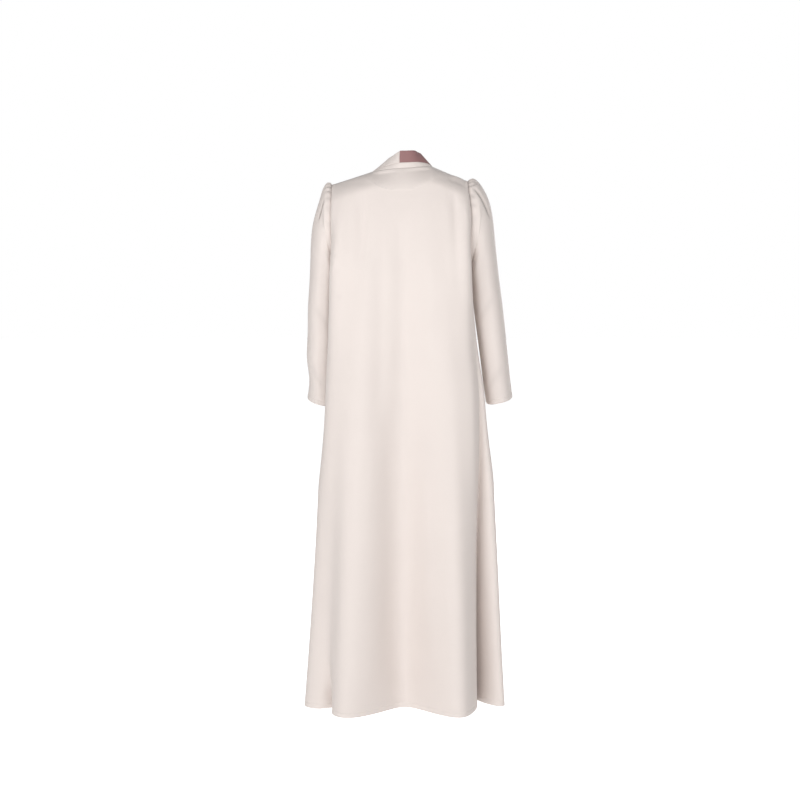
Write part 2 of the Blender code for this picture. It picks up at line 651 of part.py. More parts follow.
back_columns = with_neck_corners(panel_columns(-1.0, 1.0, BACK_COLUMNS, "back"))
neck = neck_angles(back_columns)
panel("back", back_columns, "back")
panel("front_left", panel_columns(1.0, 2.0, FRONT_COLUMNS, "front"), "front")
panel("front_right", -panel_columns(1.0, 2.0, FRONT_COLUMNS, "front"), "front")
sleeve("sleeve_left", 1)
sleeve("sleeve_right", -1)
collar_stand(neck)
collar_band("band_left", 1, CREAM, neck)
collar_band("band_right", -1, MAUVE, neck)
neck_facing()
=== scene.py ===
import bpy
import numpy as np
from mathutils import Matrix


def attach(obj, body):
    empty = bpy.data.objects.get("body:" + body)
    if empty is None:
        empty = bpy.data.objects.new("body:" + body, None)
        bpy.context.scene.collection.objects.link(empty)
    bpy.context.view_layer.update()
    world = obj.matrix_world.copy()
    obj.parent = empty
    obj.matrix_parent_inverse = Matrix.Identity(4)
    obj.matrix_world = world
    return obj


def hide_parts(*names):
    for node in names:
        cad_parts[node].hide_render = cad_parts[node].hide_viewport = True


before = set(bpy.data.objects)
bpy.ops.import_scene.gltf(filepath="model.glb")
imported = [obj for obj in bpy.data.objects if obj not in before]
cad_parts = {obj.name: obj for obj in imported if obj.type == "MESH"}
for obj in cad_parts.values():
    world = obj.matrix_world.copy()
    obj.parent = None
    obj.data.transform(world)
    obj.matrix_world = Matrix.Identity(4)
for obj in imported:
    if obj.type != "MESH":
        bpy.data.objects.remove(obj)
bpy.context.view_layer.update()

# Crepe
# The whole cloak is cut from one matte satin-back crepe: hard-twisted yarns that lie unevenly, so
# the face is finely pebbled and takes a soft sheen. Cream for the body, dusty mauve for one band.
CREAM = (0.74, 0.668, 0.630, 1.0)
MAUVE = (0.292, 0.156, 0.154, 1.0)
CLOTH = 0.0005
YARNS_PER_METRE = 2300.0
PEBBLES_PER_METRE = 900.0
CREAM_INSIDE = (0.72, 0.648, 0.610, 1.0)
CREPE_BUMP = 0.00012


def crepe_group():
    """Node group: yarn waves along both threads of the cloth, made uneven by a fine noise, give the
    height; a broad soft noise gives a tint that differs at random, 1 where the cloth is plain, and
    painted shade darkens the colour a little where the height is low."""
    group = bpy.data.node_groups.new("crepe_face", "ShaderNodeTree")
    side = group.interface
    side.new_socket("Cloth", in_out="INPUT", socket_type="NodeSocketVector")
    yarns = side.new_socket("Yarns", in_out="INPUT", socket_type="NodeSocketFloat")
    yarns.default_value = YARNS_PER_METRE
    pebbles = side.new_socket("Pebbles", in_out="INPUT", socket_type="NodeSocketFloat")
    pebbles.default_value = PEBBLES_PER_METRE
    side.new_socket("Height", in_out="OUTPUT", socket_type="NodeSocketFloat")
    side.new_socket("Tint", in_out="OUTPUT", socket_type="NodeSocketFloat")
    nodes = group.nodes
    join = group.links.new
    enter = nodes.new("NodeGroupInput")
    leave = nodes.new("NodeGroupOutput")

    def times(vector, factor):
        scale = nodes.new("ShaderNodeVectorMath")
        scale.operation = "SCALE"
        join(vector, scale.inputs[0])
        join(factor, scale.inputs["Scale"])
        return scale.outputs[0]

    def math(kind, first, second):
        node = nodes.new("ShaderNodeMath")
        node.operation = kind
        for socket, value in zip(node.inputs, (first, second)):
            if isinstance(value, float):
                socket.default_value = value
            else:
                join(value, socket)
        return node.outputs[0]

    grain = nodes.new("ShaderNodeTexNoise")
    grain.noise_dimensions = "2D"
    grain.inputs["Scale"].default_value = 1.0
    grain.inputs["Detail"].default_value = 2.0
    join(times(enter.outputs["Cloth"], enter.outputs["Pebbles"]), grain.inputs["Vector"])
    turned = nodes.new("ShaderNodeVectorMath")
    turned.operation = "ADD"
    join(times(enter.outputs["Cloth"], enter.outputs["Yarns"]), turned.inputs[0])
    join(grain.outputs["Color"], turned.inputs[1])
    yarn = []
    for direction in ("X", "Y"):
        wave = nodes.new("ShaderNodeTexWave")
        wave.bands_direction = direction
        wave.inputs["Scale"].default_value = 0.5
        wave.inputs["Distortion"].default_value = 0.8
        join(turned.outputs[0], wave.inputs["Vector"])
        yarn.append(wave.outputs["Fac"])
    weave = math("MULTIPLY", yarn[0], yarn[1])
    height = math("ADD", math("MULTIPLY", weave, 0.45), math("MULTIPLY", grain.outputs["Fac"], 0.55))
    join(height, leave.inputs["Height"])

    broad = nodes.new("ShaderNodeTexNoise")
    broad.noise_dimensions = "2D"
    broad.inputs["Scale"].default_value = 9.0
    broad.inputs["Detail"].default_value = 3.0
    join(enter.outputs["Cloth"], broad.inputs["Vector"])
    # Painted shade: the colour is darker where the pebbled face lies low and lighter where it stands
    # high.
    fine = math("MULTIPLY", math("SUBTRACT", height, 0.4), 0.10)
    wide = math("MULTIPLY", math("SUBTRACT", broad.outputs["Fac"], 0.5), 0.035)
    join(math("ADD", math("ADD", 1.0, wide), fine), leave.inputs["Tint"])
    return group


crepe_face = crepe_group()


def crepe(name, colour, roughness, sheen):
    """Material: the colour times the crepe's tint and painted shade and the piece's own "shade"
    attribute, with the crepe's height as a bump."""
    material = bpy.data.materials.new(name)
    material.use_nodes = True
    nodes = material.node_tree.nodes
    join = material.node_tree.links.new
    shader = nodes["Principled BSDF"]
    shader.inputs["Roughness"].default_value = roughness
    shader.inputs["Specular IOR Level"].default_value = 0.30
    shader.inputs["Sheen Weight"].default_value = sheen
    shader.inputs["Sheen Roughness"].default_value = 0.45
    cloth = nodes.new("ShaderNodeUVMap")
    cloth.uv_map = "cloth"
    face = nodes.new("ShaderNodeGroup")
    face.node_tree = crepe_face
    join(cloth.outputs["UV"], face.inputs["Cloth"])
    shade = nodes.new("ShaderNodeAttribute")
    shade.attribute_name = "shade"
    both = nodes.new("ShaderNodeMath")
    both.operation = "MULTIPLY"
    join(face.outputs["Tint"], both.inputs[0])
    join(shade.outputs["Fac"], both.inputs[1])
    tinted = nodes.new("ShaderNodeVectorMath")
    tinted.operation = "SCALE"
    tinted.inputs[0].default_value = colour[:3]
    join(both.outputs[0], tinted.inputs["Scale"])
    join(tinted.outputs[0], shader.inputs["Base Color"])
    bump = nodes.new("ShaderNodeBump")
    bump.inputs["Distance"].default_value = CREPE_BUMP
    join(face.outputs["Height"], bump.inputs["Height"])
    join(bump.outputs["Normal"], shader.inputs["Normal"])
    return material


cream_crepe = crepe("cream_crepe", CREAM, 0.60, 0.12)
mauve_crepe = crepe("mauve_crepe", MAUVE, 0.62, 0.10)
cream_inside = crepe("cream_facing", CREAM_INSIDE, 0.72, 0.04)


# Back
# One wide panel of crepe from the shoulder seams to the hem, cut flared, so it falls from the
# shoulder blades in a few broad folds. Its hem is turned up inside and topstitched.
HEM_LEVEL = -1.428
UNDERARM_LEVEL = -0.250
TIP_LEVEL = {1: -0.040, -1: -0.031}
NECK_CORNER_LEVEL = {1: -0.006, -1: 0.007}
NECK_HALF_WIDTH = 0.080
NECK_BACK_DEPTH = 0.058
ARMHOLE_HALF_DEPTH = 0.066
ARMHOLE_ROUNDNESS = 0.55
ARMHOLE_MIDDLE = -0.145
CORNER_END_LEVEL = -0.500
CORNER_TURN = 0.22
BODY_SQUARENESS = 2.5
BODY_SLENDER = 0.65
SHOULDER_DROP = 0.050
NECK_EASE = 0.25
SHOULDER_FULLNESS = 1.7
SHOULDER_FROM_NECK = (0.050, 0.150)
SHOULDER_FLAT_AT_SEAM = 0.22
FOLD_STEEPNESS = 1.4
FOLD_FREE_BELOW = 0.06
FINE_STEPS = 4001
PLAN_STEP = 0.01
BODY_SECTIONS = (
    # level, left, right, back, front, edge
    (0.030, 0.186, 0.172, 0.066, 0.044, 0.080),
    (-0.042, 0.186, 0.172, 0.082, 0.064, 0.078),
    (-0.110, 0.188, 0.179, 0.101, 0.098, 0.071),
    (-0.200, 0.192, 0.182, 0.118, 0.127, 0.060),
    (-0.280, 0.200, 0.188, 0.126, 0.136, 0.057),
    (-0.350, 0.203, 0.195, 0.127, 0.134, 0.057),
    (-0.450, 0.207, 0.205, 0.125, 0.131, 0.058),
    (-0.590, 0.214, 0.223, 0.126, 0.131, 0.059),
    (-0.760, 0.219, 0.229, 0.129, 0.136, 0.061),
    (-1.040, 0.225, 0.236, 0.136, 0.147, 0.064),
    (-1.250, 0.229, 0.239, 0.142, 0.156, 0.067),
    (-1.428, 0.233, 0.243, 0.147, 0.163, 0.070),
)
BODY_FOLDS = (
    # top, foot, width, out, lean, start, power
    (0.42, 0.42, 0.20, 0.060, 0.004, -0.150, 1.25),
    (-0.02, -0.02, 0.22, -0.062, 0.000, -0.080, 0.95),
    (-0.43, -0.40, 0.17, 0.056, -0.006, -0.200, 1.30),
    (0.62, 0.62, 0.055, -0.050, -0.004, -0.900, 8.00),
    (0.80, 0.80, 0.15, 0.036, 0.004, -0.600, 1.30),
    (-0.70, -0.690, 0.075, -0.130, -0.074, -0.330, 1.05),
    (-0.86, -0.81, 0.11, 0.040, -0.002, -0.380, 1.10),
    (1.22, 1.22, 0.15, -0.022, 0.000, -0.500, 1.20),
    (1.45, 1.45, 0.16, 0.030, 0.006, -0.240, 1.30),
    (1.74, 1.74, 0.13, -0.018, 0.000, -0.320, 1.20),
    (-1.18, -1.18, 0.15, -0.020, 0.000, -0.560, 1.20),
    (-1.42, -1.42, 0.15, 0.026, 0.000, -0.260, 1.25),
    (-1.70, -1.70, 0.12, -0.022, 0.004, -0.300, 1.10),
)
BODY_HOLLOWS = (
    # across, width, out, top, full from, full to, bottom
    (1.04, 0.22, -0.036, -0.120, -0.360, -0.650, -0.860),
    (1.24, 0.20, -0.016, -0.160, -0.360, -0.650, -0.860),
    (-1.03, 0.22, -0.030, -0.120, -0.360, -0.630, -0.840),
    (-1.22, 0.20, -0.010, -0.160, -0.360, -0.630, -0.840),
    (0.68, 0.16, 0.011, -0.100, -0.240, -0.700, -1.050),
    (-0.66, 0.16, 0.013, -0.100, -0.260, -0.700, -1.050),
    (0.66, 0.10, 0.004, -0.060, -0.140, -0.200, -0.420),
    (0.42, 0.07, -0.005, -0.050, -0.120, -0.180, -0.460),
    (-0.74, 0.10, 0.005, -0.060, -0.130, -0.170, -0.380),
    (-0.58, 0.07, -0.004, -0.050, -0.100, -0.200, -0.420),
)


def through(table, place, column):
    """Smooth curve through a table's column: cubic Hermite pieces between its rows, with the slope
    at a row taken from the rows on each side."""
    rows = np.array(table, dtype=float)
    rows = rows[np.argsort(rows[:, 0])]
    at = rows[:, 0]
    value = rows[:, column]
    slope = np.gradient(value, at)
    place = np.clip(place, at[0], at[-1])
    cell = np.clip(np.searchsorted(at, place) - 1, 0, len(at) - 2)
    step = at[cell + 1] - at[cell]
    t = (place - at[cell]) / step
    start = value[cell] * (1 + 2 * t) * (1 - t) ** 2 + slope[cell] * step * t * (1 - t) ** 2
    end = value[cell + 1] * t**2 * (3 - 2 * t) + slope[cell + 1] * step * t**2 * (t - 1)
    return start + end


def smooth(low, high, value):
    """Soft step: 3t² - 2t³, where t runs from 0 at low to 1 at high."""
    t = np.clip((value - low) / (high - low), 0.0, 1.0)
    return t * t * (3 - 2 * t)


def bell(distance, width):
    """Soft hill: e to the minus 1.4 (distance / width)²."""
    return np.exp(-((distance / width) ** 2) * FOLD_STEEPNESS)


def unit(vectors):
    """Vectors divided by their lengths."""
    return vectors / np.maximum(np.linalg.norm(vectors, axis=-1, keepdims=True), 1e-12)


def quarter_shape(across):
    """Quarter of a superellipse in even steps of its length: out is sine, and back is cosine, each
    to the power 2 / squareness."""
    angle = np.linspace(0.0, np.pi / 2, FINE_STEPS)
    out = np.sin(angle) ** (2 / BODY_SQUARENESS)
    back = np.cos(angle) ** (2 / BODY_SQUARENESS)
    length = np.cumsum(np.hypot(np.diff(out), BODY_SLENDER * np.diff(back)))
    length = np.concatenate([[0.0], length])
    fraction = length / length[-1]
    return np.interp(across, fraction, out), np.interp(across, fraction, back)


def by_side(across, left, right):
    """Left value where across is positive, and right value where it is negative."""
    return np.where(across >= 0, left, right)


def body_across(across, level, panel):
    """Distance from the middle: the body section's half width times the superellipse's out."""
    half = by_side(across, through(BODY_SECTIONS, level, 1), through(BODY_SECTIONS, level, 2))
    if panel == "back":
        out, _ = quarter_shape(np.abs(across))
        return np.sign(across) * half * out
    out, _ = quarter_shape(2 - np.abs(across))
    edge = through(BODY_SECTIONS, level, 5)
    return np.sign(across) * (edge + (half - edge) * out)


def top_level(across, panel):
    """Upper edge: level over the neck, then a straight line from the neck corner to the tip."""
    out = np.abs(body_across(across, np.full_like(across, TIP_LEVEL[1]), panel))
    tip = by_side(across, TIP_LEVEL[1], TIP_LEVEL[-1])
    corner = by_side(across, NECK_CORNER_LEVEL[1], NECK_CORNER_LEVEL[-1])
    tip_out = by_side(across, BODY_SECTIONS[0][1], BODY_SECTIONS[0][2])
    share = np.clip((out - NECK_HALF_WIDTH) / (tip_out - NECK_HALF_WIDTH), 0.0, 1.0)
    neck = corner * smooth(0.0, NECK_HALF_WIDTH, np.minimum(out, NECK_HALF_WIDTH))
    return np.where(out < NECK_HALF_WIDTH, neck, corner + (tip - corner) * share)


def armhole_depth(across, level):
    """Half depth of the armhole: (1 - h²) to the power 0.55, where h runs from -1 to 1 over it."""
    tip = by_side(across, TIP_LEVEL[1], TIP_LEVEL[-1])
    height = np.clip(2 * (level - UNDERARM_LEVEL) / (tip - UNDERARM_LEVEL) - 1, -1.0, 1.0)
    return ARMHOLE_HALF_DEPTH * (1 - height**2) ** ARMHOLE_ROUNDNESS


def body_plain(across, level, panel):
    """Body before its folds: a superellipse round each level, rounded over the shoulders by a
    quarter arc, and cut back to the armhole's oval at its sides."""
    x = body_across(across, level, panel)
    place = np.abs(across)
    _, back = quarter_shape(place if panel == "back" else 2 - place)
    column = 3 if panel == "back" else 4
    edge = armhole_depth(across, level)
    under = smooth(ARMHOLE_MIDDLE, CORNER_END_LEVEL, level)
    corner = np.where(level > ARMHOLE_MIDDLE, edge, ARMHOLE_HALF_DEPTH * (1 - under))
    turn = smooth(0.0, 1.0, 1 - np.abs(1 - place) / CORNER_TURN)
    depth = corner + (through(BODY_SECTIONS, level, column) - corner) * back
    depth -= (corner - edge) * turn
    drop = np.clip((top_level(across, panel) - level) / SHOULDER_DROP, 0.0, 1.0)
    full = 1 + (SHOULDER_FULLNESS - 1) * smooth(*SHOULDER_FROM_NECK, np.abs(x))
    fall = (1 - (1 - drop) ** 2) ** (1 / full)
    fall = fall + (1 - fall) * (1 - smooth(0.0, SHOULDER_FLAT_AT_SEAM, np.abs(1 - place)))
    y = depth * fall
    if panel == "back":
        round_neck = np.sqrt(np.clip(1 - (x / NECK_HALF_WIDTH) ** 2, 0.0, 1.0)) * NECK_BACK_DEPTH
        eased = NECK_BACK_DEPTH * bell(x, NECK_HALF_WIDTH)
        at_neck = (1 - smooth(0.0, NECK_EASE, drop)) * (round_neck - eased)
        y = eased + (depth - eased) * fall + at_neck
    return np.stack([x, y if panel == "back" else -y, level], axis=-1)


def body_point(across, level, panel):
    """Body with its folds: each adds its bell, grown by a power of the way down, along the plan
    normal, and each hollow adds its bell between soft steps."""
    plain = body_plain(across, level, panel)
    limit = (-1.0, 1.0) if panel == "back" else (1.0, 2.0)
    if panel == "back":
        ahead = body_plain(np.clip(across + PLAN_STEP, *limit), level, panel)
        behind = body_plain(np.clip(across - PLAN_STEP, *limit), level, panel)
    else:
        place = np.abs(across)
        ahead = body_plain(np.sign(across) * np.clip(place + PLAN_STEP, *limit), level, panel)
        behind = body_plain(np.sign(across) * np.clip(place - PLAN_STEP, *limit), level, panel)
    run = (ahead - behind) * [1.0, 1.0, 0.0]
    normal = unit(np.stack([run[..., 1], -run[..., 0], np.zeros_like(level)], axis=-1))
    normal *= np.sign(np.sum(normal * plain, axis=-1, keepdims=True))
    out = np.zeros_like(level)
    aside = np.zeros_like(level)
    for top, foot, width, deep, lean, start, power in BODY_FOLDS:
        down = np.clip((start - level) / (start - HEM_LEVEL), 0.0, 1.0)
        hill = bell(across - top - (foot - top) * down, width)
        out += deep * down**power * hill
        aside += lean * down**power * hill
    for middle, width, deep, first, full, last, end in BODY_HOLLOWS:
        grown = smooth(first, full, level) * (1 - smooth(last, end, level))
        out += deep * grown * bell(across - middle, width)
    free = smooth(0.0, FOLD_FREE_BELOW, top_level(across, panel) - level)
    point = plain + normal * (out * free)[..., None]
    point[..., 0] += aside * free
    return point


def normals_of(points, closed=False):
    """Unit normals: the cross product of the steps across and down the grid."""
    down = np.gradient(points, axis=0)
    if closed:
        over = (np.roll(points, -1, axis=1) - np.roll(points, 1, axis=1)) / 2
    else:
        over = np.gradient(points, axis=1)
    return unit(np.cross(over, down))


def cloth_piece(name, points, material, shade=None, closed=False, node=None):
    """A thin shell on a grid of points. Its map gives the metres across and down the cloth, summed
    from the steps between points, and its shade attribute darkens the colour where it is below 1."""
    rows, columns = points.shape[:2]
    if closed:
        points = np.concatenate([points, points[:, :1]], axis=1)
        shade = None if shade is None else np.concatenate([shade, shade[:, :1]], axis=1)
    width = points.shape[1]
    over = np.linalg.norm(np.diff(points, axis=1), axis=-1)
    u = np.concatenate([np.zeros((rows, 1)), np.cumsum(over, axis=1)], axis=1)
    u -= u[:, width // 2][:, None]
    down = np.linalg.norm(np.diff(points, axis=0), axis=-1)
    v = np.concatenate([np.zeros((1, width)), np.cumsum(down, axis=0)])
    v = np.broadcast_to(v.mean(axis=1, keepdims=True), v.shape)
    uv = np.stack([u, -v], axis=-1).reshape(-1, 2)
    index = np.arange(rows * width).reshape(rows, width)
    corners = (index[:-1, :-1], index[:-1, 1:], index[1:, 1:], index[1:, :-1])
    quads = np.stack(corners, axis=-1).reshape(-1, 4)
    own = index % width % columns + index // width * columns if closed else index
    faces = own.reshape(-1)[quads]
    grid = points[:, :columns].reshape(-1, 3)
    mesh = bpy.data.meshes.new(name)
    mesh.from_pydata(grid.tolist(), [], faces.tolist())
    layer = mesh.uv_layers.new(name="cloth")
    layer.data.foreach_set("uv", uv[quads.reshape(-1)].astype(np.float32).reshape(-1))
    tone = np.ones(len(grid)) if shade is None else shade[:, :columns].reshape(-1)
    attribute = mesh.attributes.new("shade", "FLOAT", "POINT")
    attribute.data.foreach_set("value", tone.astype(np.float32))
    mesh.shade_smooth()
    mesh.materials.append(material)
    piece = bpy.data.objects.new(name, mesh)
    bpy.context.scene.collection.objects.link(piece)
    thick = piece.modifiers.new("cloth", "SOLIDIFY")
    thick.thickness = CLOTH
    thick.offset = -1.0
    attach(piece, "root")
    if node:
        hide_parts(node)
    return piece


HEM_TURN = 0.012
HEM_ROLL = 0.0007
STITCH_GROOVE = 0.00045
STITCH_GROOVE_WIDTH = 0.0016
HEM_ROWS = np.array([0.0, 0.0006, 0.0016, 0.004, 0.0075, 0.0095, 0.0106, 0.0113, 0.012, 0.0127, 0.0134,
                     0.0145, 0.0165, 0.020, 0.025, 0.031])
TURN_ROWS = np.array([0.0008, 0.004, 0.008, 0.0115])
HEM_FULLNESS = 0.0003
SEAM_DIP = 0.0009
SEAM_DIP_WIDTH = 0.004
YOKE_SINE_SHARE = 0.35
COLUMNS_BY_LENGTH = 0.6
COLUMNS_TO_SEAMS = 0.35
LINE_FADE = 0.3


def hem_relief(above):
    """Relief next to a turned hem: a groove under the stitches, and a slight fullness below it."""
    groove = STITCH_GROOVE * bell(above - HEM_TURN, STITCH_GROOVE_WIDTH)
    return HEM_FULLNESS * (1 - smooth(HEM_TURN * 0.8, HEM_TURN, above)) - groove


def seam_relief(distance):
    """Relief next to a plain seam: the cloth dips into it."""
    return -SEAM_DIP * bell(distance, SEAM_DIP_WIDTH)


def turned_hem(points, normals, above):
    """Adds the turned part of a hem under the last row: a half round of the roll's radius, then
    the rows above it again, moved in by twice the radius."""
    down = unit(points[-1] - points[-2])
    rows = []
    for angle in np.radians([45.0, 90.0, 135.0, 180.0]):
        rows.append(points[-1] + HEM_ROLL * (down * np.sin(angle) - normals[-1] * (1 - np.cos(angle))))
    order = np.argsort(above)
    for height in TURN_ROWS:
        place = np.interp(height, above[order], np.arange(len(above))[order])
        low = int(np.floor(place))
        share = place - low
        high = min(low + 1, len(above) - 1)
        point = points[low] * (1 - share) + points[high] * share
        normal = unit(normals[low] * (1 - share) + normals[high] * share)
        rows.append(point - normal * 2 * HEM_ROLL)
    return np.concatenate([points, np.stack(rows)])


def body_levels(across, panel, yoke_rows, skirt_rows):
    """Levels of a panel's rows: close at the shoulder, as a mix of a sine and one less a cosine, then
    even, then close at the hem."""
    quarter = np.linspace(0.0, np.pi / 2, yoke_rows + 1)
    share = YOKE_SINE_SHARE * np.sin(quarter) + (1 - YOKE_SINE_SHARE) * (1 - np.cos(quarter))
    top = top_level(across, panel)
    yoke = top + (UNDERARM_LEVEL - top) * share[:, None]
    hem = HEM_LEVEL + HEM_ROLL + HEM_ROWS[::-1]
    skirt = np.linspace(UNDERARM_LEVEL, hem[0], skirt_rows + 1)[1:]
    rest = np.concatenate([skirt, hem[1:]])
    return np.concatenate([yoke, np.broadcast_to(rest[:, None], (len(rest), len(across)))])


def body_columns(first, last, count, panel):
    """Places across a panel: even along a mix of the hem's length and the place itself, so closer
    where the hem runs deep into a fold, and drawn to the seams by a sine."""
    even = np.linspace(first, last, FINE_STEPS)
    hem = body_point(even, np.full_like(even, HEM_LEVEL), panel)
    run = np.concatenate([[0.0], np.cumsum(np.linalg.norm(np.diff(hem, axis=0), axis=1))])
    share = COLUMNS_BY_LENGTH * run / run[-1]
    share = share + (1 - COLUMNS_BY_LENGTH) * np.linspace(0.0, 1.0, len(even))
    wave = np.linspace(0.0, 1.0, count + 1)
    wave = wave - COLUMNS_TO_SEAMS * np.sin(2 * np.pi * wave) / (2 * np.pi)
    return np.interp(wave, share, even)


def relief_lines(x, z, table):
    """Sum of soft ridges and troughs: each follows a bowed line from its top to its foot, with a
    bell across it, and fades in and out at its ends."""
    relief = np.zeros_like(x)
    for x_top, z_top, x_foot, z_foot, bow, width, out in table:
        run = np.array([x_foot - x_top, z_foot - z_top])
        length = np.hypot(*run)
        t = ((x - x_top) * run[0] + (z - z_top) * run[1]) / length**2
        away = ((x - x_top) * run[1] - (z - z_top) * run[0]) / length
        away = away - bow * np.sin(np.pi * np.clip(t, 0.0, 1.0))
        fade = smooth(0.0, LINE_FADE, t) * (1 - smooth(1 - LINE_FADE, 1.0, t))
        relief += out * bell(away, width) * fade
    return relief


BACK_CREASES = (
    # x top, z top, x foot, z foot, bow, width, out
    (0.006, -0.110, 0.008, -0.640, 0.004, 0.020, -0.0024),
    (0.060, -0.120, 0.066, -0.700, 0.006, 0.022, -0.0030),
    (0.180, -0.620, 0.186, -1.380, 0.004, 0.018, -0.0014),
    (-0.060, -0.100, -0.075, -0.560, 0.004, 0.026, 0.0018),
    (0.110, -0.150, 0.105, -0.800, 0.004, 0.030, 0.0020),
    (0.085, -0.500, 0.085, -1.500, 0.000, 0.045, 0.0050),
    (0.022, -0.500, 0.018, -1.500, 0.000, 0.050, -0.0060),
    (-0.060, -0.700, -0.085, -1.400, -0.004, 0.030, 0.0026),
    (-0.122, -0.017, -0.168, -0.034, 0.002, 0.0045, 0.0026),
    (-0.116, -0.028, -0.170, -0.047, 0.002, 0.0060, -0.0022),
    (-0.110, -0.011, -0.136, -0.019, 0.000, 0.0025, -0.0016),
)
FACING_HALF_WIDTH = 0.098
FACING_DEPTH = 0.058
FACING_ROUNDNESS = 0.6
FACING_RISE = 0.0010
# Painted shade over the facing's half moon, and a painted shadow line along its edge.
FACING_PAINTED_SHADE = 0.040
FACING_LINE_WIDTH = 0.0016
FACING_LINE_PAINTED_SHADOW = 0.045
FACING_LINE_LEFT_PAINTED_SHADOW = 0.065
FAINT_MARK = (0.164, -0.335)
FAINT_MARK_RADIUS = 0.009
FAINT_MARK_TONE = 0.025


def facing_edge(x, z, top):
    """Distance above the facing's edge, positive inside the half moon where the back gets painted
    shade: the depth goes as 1 - (x / half width)² to the power 0.6."""
    depth = FACING_DEPTH * np.clip(1 - (x / FACING_HALF_WIDTH) ** 2, 0.0, 1.0) ** FACING_ROUNDNESS
    return depth - (top - z)


def turns_outward(points, normals, row, column):
    """True where the cross product of the steps across and down the grid runs along the normal."""
    here = points[row, column]
    turn = np.cross(points[row, column + 1] - here, points[row + 1, column] - here)
    return np.sum(turn * normals[row, column]) > 0


def body_panel(name, across, panel, yoke_rows, skirt_rows, creases, node):
    """A body panel: the folded body moved along its normals by the sum of its seams', creases' and
    hem's relief, and on the back by the facing's rise, with the turned hem below. On the back,
    painted shade darkens the half moon over the facing, a painted shadow line runs along its edge,
    and a faint round mark is darkened."""
    levels = body_levels(across, panel, yoke_rows, skirt_rows)
    places = np.broadcast_to(across, levels.shape)
    points = body_point(places, levels, panel)
    normals = normals_of(points)
    normals *= np.sign(np.sum(normals * (points - [0.0, 0.0, UNDERARM_LEVEL]), axis=-1).mean())
    top = top_level(across, panel)
    above = (levels[:, 0] if panel == "front" else levels[:, len(across) // 2]) - HEM_LEVEL - HEM_ROLL
    relief = relief_lines(points[..., 0], points[..., 2], creases)
    relief += hem_relief(levels - HEM_LEVEL - HEM_ROLL)
    to_side = np.linalg.norm(points - points[:, :1], axis=-1)
    to_other = np.linalg.norm(points - points[:, -1:], axis=-1)
    relief += seam_relief(to_side)
    if panel == "back":
        relief += seam_relief(to_other)
    relief += seam_relief(top - levels)
    shade = np.ones_like(levels)
    if panel == "back":
        inside = facing_edge(points[..., 0], levels, top)
        relief += FACING_RISE * smooth(-0.0025, 0.0015, inside)
        # Painted shade inside the half moon, and a painted shadow line along its edge, darker towards
        # the wearer's left.
        shade -= FACING_PAINTED_SHADE * smooth(-0.001, 0.001, inside)
        line_painted_shadow = FACING_LINE_PAINTED_SHADOW + FACING_LINE_LEFT_PAINTED_SHADOW * smooth(0.0, 0.06, points[..., 0])
        shade -= line_painted_shadow * bell(inside, FACING_LINE_WIDTH)
        from_mark = np.hypot(points[..., 0] - FAINT_MARK[0], levels - FAINT_MARK[1])
        in_mark = 1 - smooth(0.7 * FAINT_MARK_RADIUS, FAINT_MARK_RADIUS, from_mark)
        shade -= FAINT_MARK_TONE * in_mark
    points = points + normals * relief[..., None]
    stitch_row = np.argmin(np.abs(above - HEM_TURN))
    stitches = points[stitch_row], normals[stitch_row]
    points = turned_hem(points, normals, above)
    shade = np.concatenate([shade, np.ones((len(points) - len(shade), len(across)))])
    if turns_outward(points, normals, 10, 10):
        points = points[:, ::-1]
        shade = shade[:, ::-1]
    return cloth_piece(name, points, cream_crepe, shade, node=node), stitches


THREAD_RADIUS = 0.00022
STITCH_LENGTH = 0.0026
STITCH_SPACE = 0.0009


def stitching(name, path, normals, closed=False):
    """Topstitches: along the path, evenly spaced, each a short rod of six sides that rises out of
    the cloth as the sine of the way along it."""
    if closed:
        path = np.concatenate([path, path[:1]])
        normals = np.concatenate([normals, normals[:1]])
    run = np.concatenate([[0.0], np.cumsum(np.linalg.norm(np.diff(path, axis=0), axis=1))])
    starts = np.arange(0.0, run[-1] - STITCH_LENGTH, STITCH_LENGTH + STITCH_SPACE)
    share = np.array([0.0, 0.12, 0.5, 0.88, 1.0])
    swell = np.array([0.25, 0.85, 1.0, 0.85, 0.25])
    place = starts[:, None] + share * STITCH_LENGTH
    centre = np.stack([np.interp(place, run, path[:, k]) for k in range(3)], axis=-1)
    up = unit(np.stack([np.interp(place, run, normals[:, k]) for k in range(3)], axis=-1))
    ahead = unit(centre[:, -1] - centre[:, 0])[:, None]
    aside = unit(np.cross(np.broadcast_to(ahead, up.shape), up))
    centre = centre + up * (THREAD_RADIUS * (1.6 * np.sin(np.pi * share) - 0.3))[None, :, None]
    angle = np.linspace(0.0, 2 * np.pi, 6, endpoint=False)
    ring = up[:, :, None] * np.cos(angle)[:, None] + aside[:, :, None] * np.sin(angle)[:, None]
    points = centre[:, :, None] + ring * (THREAD_RADIUS * swell)[None, :, None, None]
    count = len(starts)
    index = np.arange(count * 30).reshape(count, 5, 6)
    ahead_index = np.roll(index, -1, axis=2)
    sides = np.stack([index[:, :-1], ahead_index[:, :-1], ahead_index[:, 1:], index[:, 1:]], axis=-1)
    faces = sides.reshape(-1, 4).tolist()
    faces += index[:, 0, ::-1].tolist()
    faces += index[:, -1].tolist()
    mesh = bpy.data.meshes.new(name)
    mesh.from_pydata(points.reshape(-1, 3).tolist(), [], faces)
    mesh.shade_smooth()
    mesh.materials.append(thread)
    piece = bpy.data.objects.new(name, mesh)
    bpy.context.scene.collection.objects.link(piece)
    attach(piece, "root")
    return piece


